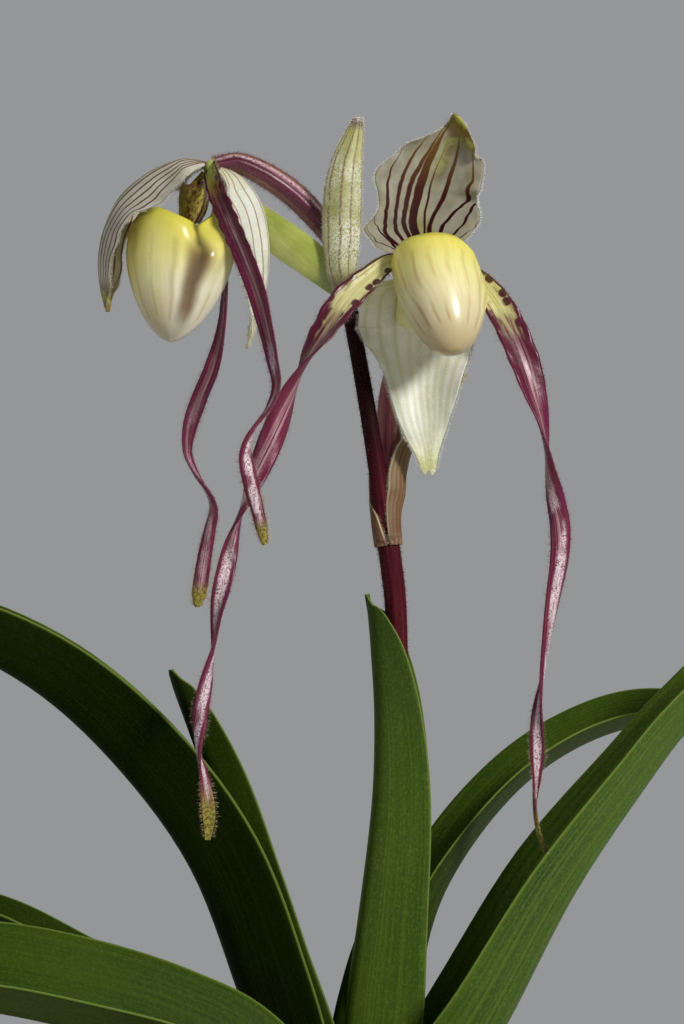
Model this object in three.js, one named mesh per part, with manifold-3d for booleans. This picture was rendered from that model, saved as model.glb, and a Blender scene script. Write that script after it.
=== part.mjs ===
// Potted slipper orchid: two open flowers on one stem, strap leaves in two growths, bark, clay pot.
// Millimetres, +Z up, the flowers look towards -Y. The origin is the middle of the pot's flat underside.
import * as THREE from 'three';
import { mergeVertices } from 'three/addons/utils/BufferGeometryUtils.js';
import Module from 'manifold-3d';

const wasm = await Module();
wasm.setup();

// Driving dimensions
const GAP = 0.3;
const POT = {
  height: 115, topRadius: 65, baseRadius: 44, wall: 5, floor: 7, rimHeight: 25, rimOut: 4, lip: 2,
  drains: 3, drainRadius: 5, drainRing: 24, sides: 36,
};
const BARK = { top: 99, chips: 36, longest: 23, shortest: 12, seed: 11, sides: 24 };
const LEAF = { thickness: 1.2, keel: 5, across: 6 };
const SEPAL = { thickness: 0.9, across: 8, steps: 12 };
const PETAL = { thickness: 0.75, across: 2, stepsPerStation: 2 };
const BRACT = { thickness: 0.8, steps: 8 };
const POUCH = {
  height: 30.9, front: 13.4, back: 12.6, side: 10.5, shell: 1, lean: 1.5, tuck: 0.3, around: 20, down: 8,
  lobe: { angle: 118, spread: 28, share: 0.69, reach: 0.24 },
  deep: { widest: 0.68, power: 1.5, blunt: 0.61 }, wide: { widest: 0.82, power: 2, blunt: 0.51 },
};
const STEM = { sides: 8, steps: 24 };
const OVARY = { knob: 3.1, sides: 9, steps: 12, ridge: 0.1 };

const COLOURS = {
  clay: '#b5653f', bark: '#6b4527', root: '#8a6a45', leaf: '#4d7a2b', scape: '#8a2f42',
  tan: '#cdb38a', green: '#b3c45c', bud: '#d8d8a8', sepal: '#ecebdc', petal: '#7c2240',
  pouch: '#ece6b4', column: '#a88a25', ovary: '#7c2b3c',
};
const TO_VIEWER = new THREE.Vector3(0, -1, 0);

// Numbers and curves
const mix = (a, b, t) => a + (b - a) * t;
const clamp = (x, low, high) => Math.min(high, Math.max(low, x));
const smooth = (x) => clamp(x, 0, 1) ** 2 * (3 - 2 * clamp(x, 0, 1));
const radians = THREE.MathUtils.degToRad;

// A steady stream of draws between 0 and 1.
function draws(seed) {
  let state = seed;
  return () => {
    state = (state * 16807) % 2147483647;
    return state / 2147483647;
  };
}

// Catmull-Rom through rows of numbers, with t running from 0 to 1 along all of them.
function along(rows, t) {
  const place = clamp(t, 0, 1) * (rows.length - 1);
  const i = Math.min(Math.floor(place), rows.length - 2);
  const f = place - i;
  const row = (k) => rows[clamp(k, 0, rows.length - 1)];
  return rows[0].map((_, c) => {
    const [a, b, d, e] = [row(i - 1)[c], row(i)[c], row(i + 1)[c], row(i + 2)[c]];
    const bend = (2 * a - 5 * b + 4 * d - e) * f + (3 * b - a - 3 * d + e) * f * f;
    return b + 0.5 * f * (d - a + bend);
  });
}

// Straight slopes between the values of a table of [position, value] pairs.
function slopes(pairs, x) {
  const last = pairs.length - 1;
  const i = clamp(pairs.findIndex((pair) => pair[0] > x), 1, last);
  const k = x >= pairs[last][0] ? last : i;
  const [x0, y0] = pairs[k - 1];
  const [x1, y1] = pairs[k];
  return mix(y0, y1, (x - x0) / (x1 - x0));
}

// Solids: closed triangle lists, joins and cuts
function solid(points, faces) {
  let volume = 0;
  for (const [a, b, c] of faces) volume += points[a].dot(points[b].clone().cross(points[c]));
  const out = volume < 0 ? faces.map(([a, b, c]) => [a, c, b]) : faces;
  return new wasm.Manifold(new wasm.Mesh({
    numProp: 3,
    vertProperties: new Float32Array(points.flatMap((p) => p.toArray())),
    triVerts: new Uint32Array(out.flat()),
  }));
}

function solidOf(geometry) {
  const plain = geometry.clone();
  plain.deleteAttribute('normal');
  plain.deleteAttribute('uv');
  const merged = mergeVertices(plain, 1e-4);
  return new wasm.Manifold(new wasm.Mesh({
    numProp: 3,
    vertProperties: new Float32Array(merged.attributes.position.array),
    triVerts: new Uint32Array(merged.index.array),
  }));
}

const largest = (shape) => shape.decompose().sort((a, b) => b.volume() - a.volume())[0];

function without(shape, ...others) {
  return largest(others.reduce((left, other) => left.subtract(other), shape));
}

const joined = (shapes) => shapes.reduce((all, one) => all.add(one));

function geometryOf(shape) {
  const { vertProperties, triVerts, numProp } = shape.getMesh();
  const geometry = new THREE.BufferGeometry();
  const xyz = new THREE.InterleavedBuffer(vertProperties, numProp);
  geometry.setAttribute('position', new THREE.InterleavedBufferAttribute(xyz, 3, 0));
  geometry.setIndex(new THREE.BufferAttribute(triVerts, 1));
  geometry.computeVertexNormals();
  return geometry.toNonIndexed();
}

// Rings of points joined into one closed skin with a fan over each end.
function tubeSkin(rings) {
  const n = rings[0].length;
  const points = rings.flat();
  const faces = [];
  for (let i = 0; i < rings.length - 1; i++) {
    for (let j = 0; j < n; j++) {
      const [a, b] = [i * n + j, i * n + ((j + 1) % n)];
      faces.push([a, b, b + n], [a, b + n, a + n]);
    }
  }
  const middle = (ring) => ring.reduce((sum, p) => sum.add(p), new THREE.Vector3()).divideScalar(n);
  const first = points.push(middle(rings[0])) - 1;
  const last = points.push(middle(rings.at(-1))) - 1;
  const end = (rings.length - 1) * n;
  for (let j = 0; j < n; j++) {
    const k = (j + 1) % n;
    faces.push([first, k, j], [last, end + j, end + k]);
  }
  return solid(points, faces);
}

// Frame along a route of [x, y, z, ...] rows: point, direction, side and the normal nearest to `facing`.
function frameAt(rows, t, facing, roll = 0) {
  const row = along(rows, t);
  const point = new THREE.Vector3(...row.slice(0, 3));
  const ahead = along(rows, Math.min(1, t + 0.002));
  const behind = along(rows, Math.max(0, t - 0.002));
  const direction = new THREE.Vector3(...ahead.slice(0, 3)).sub(new THREE.Vector3(...behind.slice(0, 3)));
  direction.normalize();
  let toward;
  if (facing.side) toward = facing.side.clone().cross(direction);
  else toward = facing.point ? facing.point.clone().sub(point) : facing.clone();
  const normal = toward.addScaledVector(direction, -toward.dot(direction)).normalize();
  normal.applyAxisAngle(direction, radians(roll));
  const side = direction.clone().cross(normal);
  return { row, point, direction, normal, side };
}

// A round or ridged tube. Rows are [x, y, z, radius].
function tube(rows, { steps, sides, ridge = 0, ridges = 3, flat = 1 }, grow = 0) {
  const rings = [];
  for (let i = 0; i <= steps; i++) {
    const { row, point, direction, normal, side } = frameAt(rows, i / steps, TO_VIEWER);
    const end = (i === steps) - (i === 0);
    const centre = point.addScaledVector(direction, grow * end);
    rings.push(Array.from({ length: sides }, (_, j) => {
      const angle = (j / sides) * 2 * Math.PI;
      const radius = (row[3] + grow) * (1 + ridge * Math.cos(ridges * angle));
      return centre.clone().addScaledVector(normal, flat * radius * Math.cos(angle))
        .addScaledVector(side, radius * Math.sin(angle));
    }));
  }
  return tubeSkin(rings);
}

// A thin sheet swept along rows of [x, y, z, left, right, roll, fold]: the widths on either side of the
// midline, the roll about the route and how far each half rises from flat, both in degrees.
function blade(rows, shape, grow = 0) {
  const { facing, steps, across, thickness, keelAt, wave = null, notch = 0, ease = 0 } = shape;
  const half = thickness / 2 + grow;
  const ring = (i) => {
    const even = i / steps;
    const t = mix(even, (1 - Math.cos(Math.PI * even)) / 2, ease);
    const [top, bottom] = [[], []];
    for (let j = 0; j <= across; j++) {
      const u = (2 * j) / across - 1;
      const back = notch * Math.abs(1 - 2 * Math.abs(u)) * smooth((t - 0.8) / 0.2);
      const { row, point, direction, normal, side } = frameAt(rows, t - back, facing, along(rows, t)[5]);
      const width = Math.max(0.35, u < 0 ? row[3] : row[4]) + grow;
      const fold = radians(Math.max(0.5, row[6]));
      const keel = keelAt ? keelAt(t, fold) : shape.keel;
      const arc = Math.abs(u) * width;
      const bent = Math.min(arc, keel);
      const turn = (fold * bent) / keel;
      const out = (keel / fold) * Math.sin(turn) + Math.max(0, arc - keel) * Math.cos(fold);
      const lift = (wave ? wave(u, t) : 0)
        + (keel / fold) * (1 - Math.cos(turn)) + Math.max(0, arc - keel) * Math.sin(fold);
      const hand = Math.sign(u);
      const ends = grow * ((i === steps) - (i === 0));
      const middle = point.addScaledVector(side, hand * out).addScaledVector(normal, lift)
        .addScaledVector(direction, ends);
      const outward = normal.multiplyScalar(Math.cos(turn)).addScaledVector(side, -hand * Math.sin(turn));
      top.push(middle.clone().addScaledVector(outward, half));
      bottom.push(middle.clone().addScaledVector(outward, -half));
    }
    return [...top, ...bottom.reverse()];
  };
  return sheetSkin(Array.from({ length: steps + 1 }, (_, i) => ring(i)), across);
}

// Rings of a sheet's top row and reversed bottom row, split into triangles alike on both faces.
function sheetSkin(rings, across) {
  const n = rings[0].length;
  const faces = [];
  for (let i = 0; i < rings.length - 1; i++) {
    for (let j = 0; j < n; j++) {
      const [a, b] = [i * n + j, i * n + ((j + 1) % n)];
      if (j < across) faces.push([a, b, b + n], [a, b + n, a + n]);
      else faces.push([a, b, a + n], [b, b + n, a + n]);
    }
  }
  const end = (rings.length - 1) * n;
  for (let j = 0; j < across; j++) {
    const [a, b, c, d] = [j, j + 1, n - 2 - j, n - 1 - j];
    faces.push([b, a, d], [b, d, c], [end + a, end + b, end + d], [end + b, end + c, end + d]);
  }
  return solid(rings.flat(), faces);
}

// The pot: a turned clay wall with a rim band, a solid floor and three drain holes
const potSlope = (z) => mix(POT.baseRadius, POT.topRadius - POT.rimOut, z / POT.height);
const potWall = (inset, z) => potSlope(z) - POT.wall - inset;

function makePot() {
  const { height, topRadius, baseRadius, floor, rimHeight, wall, lip, sides } = POT;
  const bandFoot = height - rimHeight;
  const profile = [
    [0, 0], [baseRadius - lip, 0], [baseRadius, lip], [potSlope(bandFoot), bandFoot - lip],
    [topRadius - lip, bandFoot], [topRadius - lip / 2, bandFoot + lip], [topRadius, height - lip],
    [topRadius - lip / 2, height], [topRadius - wall, height], [potWall(0, height), height - lip],
    [potWall(0, floor), floor], [0, floor],
  ];
  const turned = solidOf(new THREE.LatheGeometry(profile.map(([r, z]) => new THREE.Vector2(r, z)), sides)
    .rotateX(Math.PI / 2));
  const holes = Array.from({ length: POT.drains }, (_, k) => {
    const angle = (2 * Math.PI * (k + 0.25)) / POT.drains;
    const drill = new THREE.CylinderGeometry(POT.drainRadius, POT.drainRadius, 3 * floor, 14);
    drill.rotateX(Math.PI / 2);
    drill.translate(POT.drainRing * Math.cos(angle), POT.drainRing * Math.sin(angle), 0);
    return solidOf(drill);
  });
  return without(turned, ...holes);
}

// The bark: a plug that fills the pot, with loose-looking chips fused to its top by a seeded rule
function makeBark(openings) {
  const { top, chips, longest, shortest, sides } = BARK;
  const low = POT.floor + GAP;
  const profile = [[0, low], [potWall(GAP, low), low], [potWall(GAP, top), top], [0, top + 1]];
  const plug = solidOf(new THREE.LatheGeometry(profile.map(([r, z]) => new THREE.Vector2(r, z)), sides)
    .rotateX(Math.PI / 2));
  const draw = draws(BARK.seed);
  const reach = potWall(GAP, top) - longest / 2 - 1;
  const pieces = Array.from({ length: chips }, (_, k) => {
    const length = mix(shortest, longest, draw());
    const chip = new THREE.BoxGeometry(length, length * mix(0.45, 0.75, draw()), mix(3, 6, draw()));
    const corners = chip.attributes.position;
    const skew = [draw() - 0.5, draw() - 0.5, draw() - 0.5];
    for (let i = 0; i < corners.count; i++) {
      const [x, y, z] = [corners.getX(i), corners.getY(i), corners.getZ(i)];
      corners.setXYZ(i, x + 0.3 * skew[0] * y, y * (1 + (skew[1] * x) / length), z + 0.12 * skew[2] * x);
    }
    chip.rotateX((draw() - 0.5) * 1.1);
    chip.rotateY((draw() - 0.5) * 0.9);
    chip.rotateZ(draw() * Math.PI);
    const radius = reach * Math.sqrt((k + 0.5) / chips);
    const angle = k * Math.PI * (3 - Math.sqrt(5));
    chip.translate(radius * Math.cos(angle), radius * Math.sin(angle), top + mix(0, 1.6, draw()));
    return solidOf(chip);
  });
  return without(joined([plug, ...pieces]), ...openings);
}

// The two growths: short stems on one rhizome, with roots that run down into the bark
const CROWNS = [
  { x: 0, y: 0, reachX: 20, reachY: 14 }, { x: 2, y: -37, reachX: 17, reachY: 14 },
];
const ROOTS = [
  [[-1, 2, 85, 2], [-12, 8, 90, 2], [-24, 15, 91, 1.9], [-33, 20, 82, 1.8], [-36, 22, 66, 1.4]],
  [[1, 2, 85, 2], [13, 9, 91, 2], [25, 17, 92, 1.9], [34, 22, 84, 1.8], [37, 22, 68, 1.4]],
  [[2, -33, 84, 2], [13, -36, 89, 2], [22, -36, 90, 1.9], [26, -34, 80, 1.7], [27, -32, 66, 1.4]],
  [[1, -33, 84, 2], [-12, -37, 89, 2], [-22, -36, 90, 1.9], [-29, -32, 80, 1.7], [-31, -28, 66, 1.4]],
  [[0, 3, 85, 2], [1, 14, 91, 2], [2, 26, 91, 1.9], [2, 34, 80, 1.7], [2, 36, 62, 1.4]],
];

function makeRhizome(grow = 0) {
  const body = tube([[0, 4, 84, 4.6], [0, -12, 83, 4], [2, -26, 83, 4], [2, -41, 84, 4.4]],
    { steps: 6, sides: 8 }, grow);
  const stems = [
    tube([[0, 0, 82, 4.4], [0, 0, 92, 3.4]], { steps: 2, sides: 8 }, grow),
    tube([[2, -37, 82, 3.8], [2, -37, 92, 3]], { steps: 2, sides: 8 }, grow),
  ];
  const roots = ROOTS.map((rows) => tube(rows, { steps: 6, sides: 5 }, grow));
  return joined([body, ...stems, ...roots]);
}

// Plain hole round each growth, wide enough for its folded leaf bases.
function crownHole({ x, y, reachX, reachY }) {
  const depth = 14;
  const drill = new THREE.CylinderGeometry(1, 1.06, 2 * depth, 20);
  drill.rotateX(Math.PI / 2);
  drill.scale(reachX, reachY, 1);
  drill.translate(x, y, BARK.top);
  return solidOf(drill);
}

// How wide each folded leaf base is: the inner bases stand inside the outer ones.
const NEST = {
  leaf_centre: 4.3, leaf_inner: 5.9, leaf_right_back: 7.5, leaf_left_back: 9.1,
  leaf_right: 10.7, leaf_left: 12.3,
  leaf_middle_left: 3.4, leaf_front_left: 5.2, leaf_low_right: 7, leaf_low_left: 8.8,
};

// Leaves, as rows of [x, y, z, half width, roll, fold] along the keel from the base to the tip
const LEAVES = {
  leaf_centre: [
    [-7, 0, 94, 13, 0, 84], [-7.5, 0, 125, 18, 0, 82], [-4.8, -0.5, 155, 20.6, 0, 79],
    [-0.9, -1, 182, 18.2, 0, 77], [2.2, -1, 208, 16.2, 0, 75], [2.8, -1, 228, 14, 0, 72],
    [2, -1.5, 244, 10.8, 0, 66], [1.3, -2, 252.6, 6.8, 0, 56], [0.9, -2, 255.4, 3.2, 0, 46],
    [0.5, -2, 258, 0.7, 0, 40],
  ],
  leaf_inner: [
    [-8.8, 0, 94, 13, 0, 84], [-9.4, 0.3, 125, 14, 0, 82], [-8, 1, 150, 13, 0, 80],
    [-4.6, 2.6, 166, 10, 0, 74], [-0.5, 5, 178, 6, 0, 66], [3, 6.5, 187, 0.8, 0, 50],
  ],
  leaf_right_back: [
    [8, 0, 94, 16, 0, 84], [9.4, 1, 120, 16, 2, 80], [11.8, 6, 150, 13, 6, 62],
    [15.4, 12, 176, 13.5, 12, 46], [24, 19, 194, 13.5, 15, 39], [38.6, 25, 211, 12.5, 15, 36],
    [55.8, 31, 221.6, 12, 14, 36], [73.4, 36, 225.5, 11.5, 14, 36], [94, 40, 222, 10, 12, 36],
    [112, 43, 210, 7.5, 10, 34], [124, 45, 196, 1, 8, 30],
  ],
  leaf_left_back: [
    [-10.6, 0, 94, 18, 0, 84], [-12.6, 0.4, 120, 18, 0, 80], [-17.5, 0.8, 145, 16, -4, 72],
    [-24.7, 1, 170, 13.5, -8, 66], [-30, 1.5, 188, 13, -10, 60], [-36.2, 3, 209, 12, -14, 54],
    [-41.5, 5, 224, 10, -16, 48], [-45, 6, 233.6, 6.6, -18, 44], [-46.4, 6, 238, 2.6, -20, 38],
    [-46.8, 6, 239.6, 0.8, -20, 34],
  ],
  leaf_right: [
    [13, 0, 94, 22, 0, 84], [16.6, -0.5, 118, 22, 0, 80], [24, -2, 139, 23, 2, 66],
    [34.3, -3, 157, 24, 4, 54], [49.7, -4, 187, 22, 5, 46], [67.4, -5, 213.8, 17.4, 5, 43],
    [78, -5.5, 227.6, 15.8, 5, 42], [94, -6, 243, 15, 5, 41], [115, -7, 256, 14, 4, 40],
    [140, -8, 262, 12.6, 2, 38], [164, -9, 258, 10.4, 0, 36], [184, -9, 244, 6.4, 0, 34],
    [193, -9, 233, 2.2, 0, 30], [194.6, -9, 230, 0.8, 0, 30],
  ],
  leaf_left: [
    [-15, 0, 94, 24, 0, 84], [-18, -0.5, 118, 23.5, 0, 80], [-23, -1, 141, 22.5, -1, 68],
    [-30, -2, 163, 22.5, -2, 62], [-41.5, -3, 193, 22, -3, 59], [-59.3, -5, 217.7, 21.5, -3, 57],
    [-80, -7, 236.6, 20, -3, 53], [-104, -9, 248, 18, -2, 48], [-130, -11, 249, 16, 0, 44],
    [-154, -13, 237, 12.5, 0, 40], [-171, -14, 222, 7.5, 0, 36], [-179, -15, 211, 2.4, 0, 32],
    [-181, -15, 207.4, 0.8, 0, 30],
  ],
  leaf_front_left: [
    [-7.5, -38, 92, 16, 0, 84], [-11, -38.5, 112, 18, 4, 74], [-19.5, -41, 131, 21, 8, 60],
    [-32, -44, 147, 22, 12, 52], [-45, -47, 154.6, 22.5, 14, 46], [-62, -51, 160.6, 23, 15, 43],
    [-84, -55, 166, 22.5, 15, 42], [-108, -58, 169, 20.5, 14, 40], [-132, -61, 163, 17, 12, 38],
    [-152, -63, 151, 11, 8, 36], [-164, -64, 140, 4, 6, 32], [-167, -64, 136.4, 0.8, 6, 30],
  ],
  leaf_middle_left: [
    [-5.6, -37, 92, 12, 0, 84], [-8.6, -36, 112, 14, 0, 80], [-16, -31, 130, 15, 2, 66],
    [-30, -25, 144, 15, 4, 56], [-50, -20, 156, 15, 4, 52], [-71, -16, 167.6, 14.5, 4, 50],
    [-90, -13, 177, 14, 4, 48], [-112, -11, 183, 12.5, 2, 46], [-134, -9, 181, 9.5, 0, 42],
    [-150, -8, 172, 4.5, 0, 38], [-156, -8, 167, 0.8, 0, 34],
  ],
  leaf_low_left: [
    [-9.6, -37, 90, 17, 0, 84], [-14, -37, 104, 17, 0, 72], [-26, -38, 120, 16, 2, 56],
    [-44, -38.5, 134, 16, 2, 50], [-64, -38, 144, 15.5, 0, 46], [-86, -37, 148, 14.5, 0, 44],
    [-108, -36, 145, 12.5, 0, 42], [-128, -35, 135, 8.5, 0, 40], [-142, -35, 123, 1, 0, 34],
  ],
  leaf_low_right: [
    [9, -37, 92, 15, 0, 84], [13.5, -37.5, 110, 16, 0, 72], [26, -39, 126, 15.5, 2, 58],
    [44, -41, 138, 15.5, 4, 50], [66, -43, 146, 15, 4, 46], [90, -45, 148, 13, 2, 44],
    [112, -47, 141, 9, 0, 40], [127, -48, 130, 1, 0, 34],
  ],
};

function makeLeaf(name, grow = 0) {
  const inward = name.includes('left') || name === 'leaf_centre' || name === 'leaf_inner' ? 1 : -1;
  const rows = LEAVES[name].map(([x, y, z, w, roll, fold]) => [x, y, z, w, w, -inward * roll, fold]);
  return blade(rows, {
    ...LEAF, facing: { side: new THREE.Vector3(0, inward, 0) }, steps: rows.length + 1, ease: 0.3,
    keelAt: (t, fold) => mix(fold * NEST[name], LEAF.keel, smooth(t / 0.4)),
  }, grow);
}

// The flower stem and its bracts
const SCAPE = [
  [-0.4, 0, 95, 2.6], [0, 0, 125, 2.6], [2.2, 0, 155, 2.7], [6, 0.2, 190, 2.7], [7.8, 0.4, 222, 2.6],
  [7.5, 0.3, 252, 2.6], [6.4, 0, 264, 2.65], [5, 0, 274, 2.6], [3.4, -0.4, 285, 2.2],
  [1.2, -0.8, 299, 2], [-1.2, -1, 313, 1.9], [-3.4, -0.8, 325, 1.9], [-4.7, 0, 331.6, 2.1],
];
const LOWER_BRACT = [
  [5.7, 3.2, 269.4, 9.5, 9.5, 0, 259], [5.1, 3.5, 275, 8.4, 10.2, 0, 243], [5.1, 5.6, 280.5, 5.2, 13, 0, 189],
  [5.5, 7.6, 287.3, 6.4, 13.2, 0, 186], [7.4, 10.2, 294.5, 6, 12, 0, 184],
  [11.4, 12.2, 300.5, 5, 9, 0, 174], [17.4, 12.9, 306.5, 3.4, 5, 0, 180], [24.4, 12, 311.6, 0.9, 0.9, 0, 100],
];
const GREEN_BRACT = [
  [-6.4, 0.6, 331.5, 2.4, 2.4, 0, 22], [-10, 0, 335.4, 3.8, 3.8, 0, 26],
  [-14.5, 0, 339.2, 4.5, 4.5, 0, 26],
  [-19.8, 1, 343, 4.6, 4.6, 0, 24], [-24.6, 3, 347, 4, 4, 0, 20], [-28.6, 5.4, 351.4, 2.6, 2.6, 0, 16],
  [-30.8, 7, 354.6, 0.7, 0.7, 0, 12],
];
const END_BRACT = [
  [-4.6, -0.9, 330.6, 2.3], [-5.3, -1.1, 334, 3.5], [-5.7, -1.2, 337.8, 4.2],
  [-5.6, -1.4, 343.5, 4.9], [-5.5, -1.4, 350, 5],
  [-5.2, -1.4, 355.5, 4.8], [-4.4, -1.2, 361.2, 4.1], [-3.2, -1, 366, 2.9], [-2, -0.8, 370.3, 1.7],
  [-1.7, -0.8, 372.4, 1],
];

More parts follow.
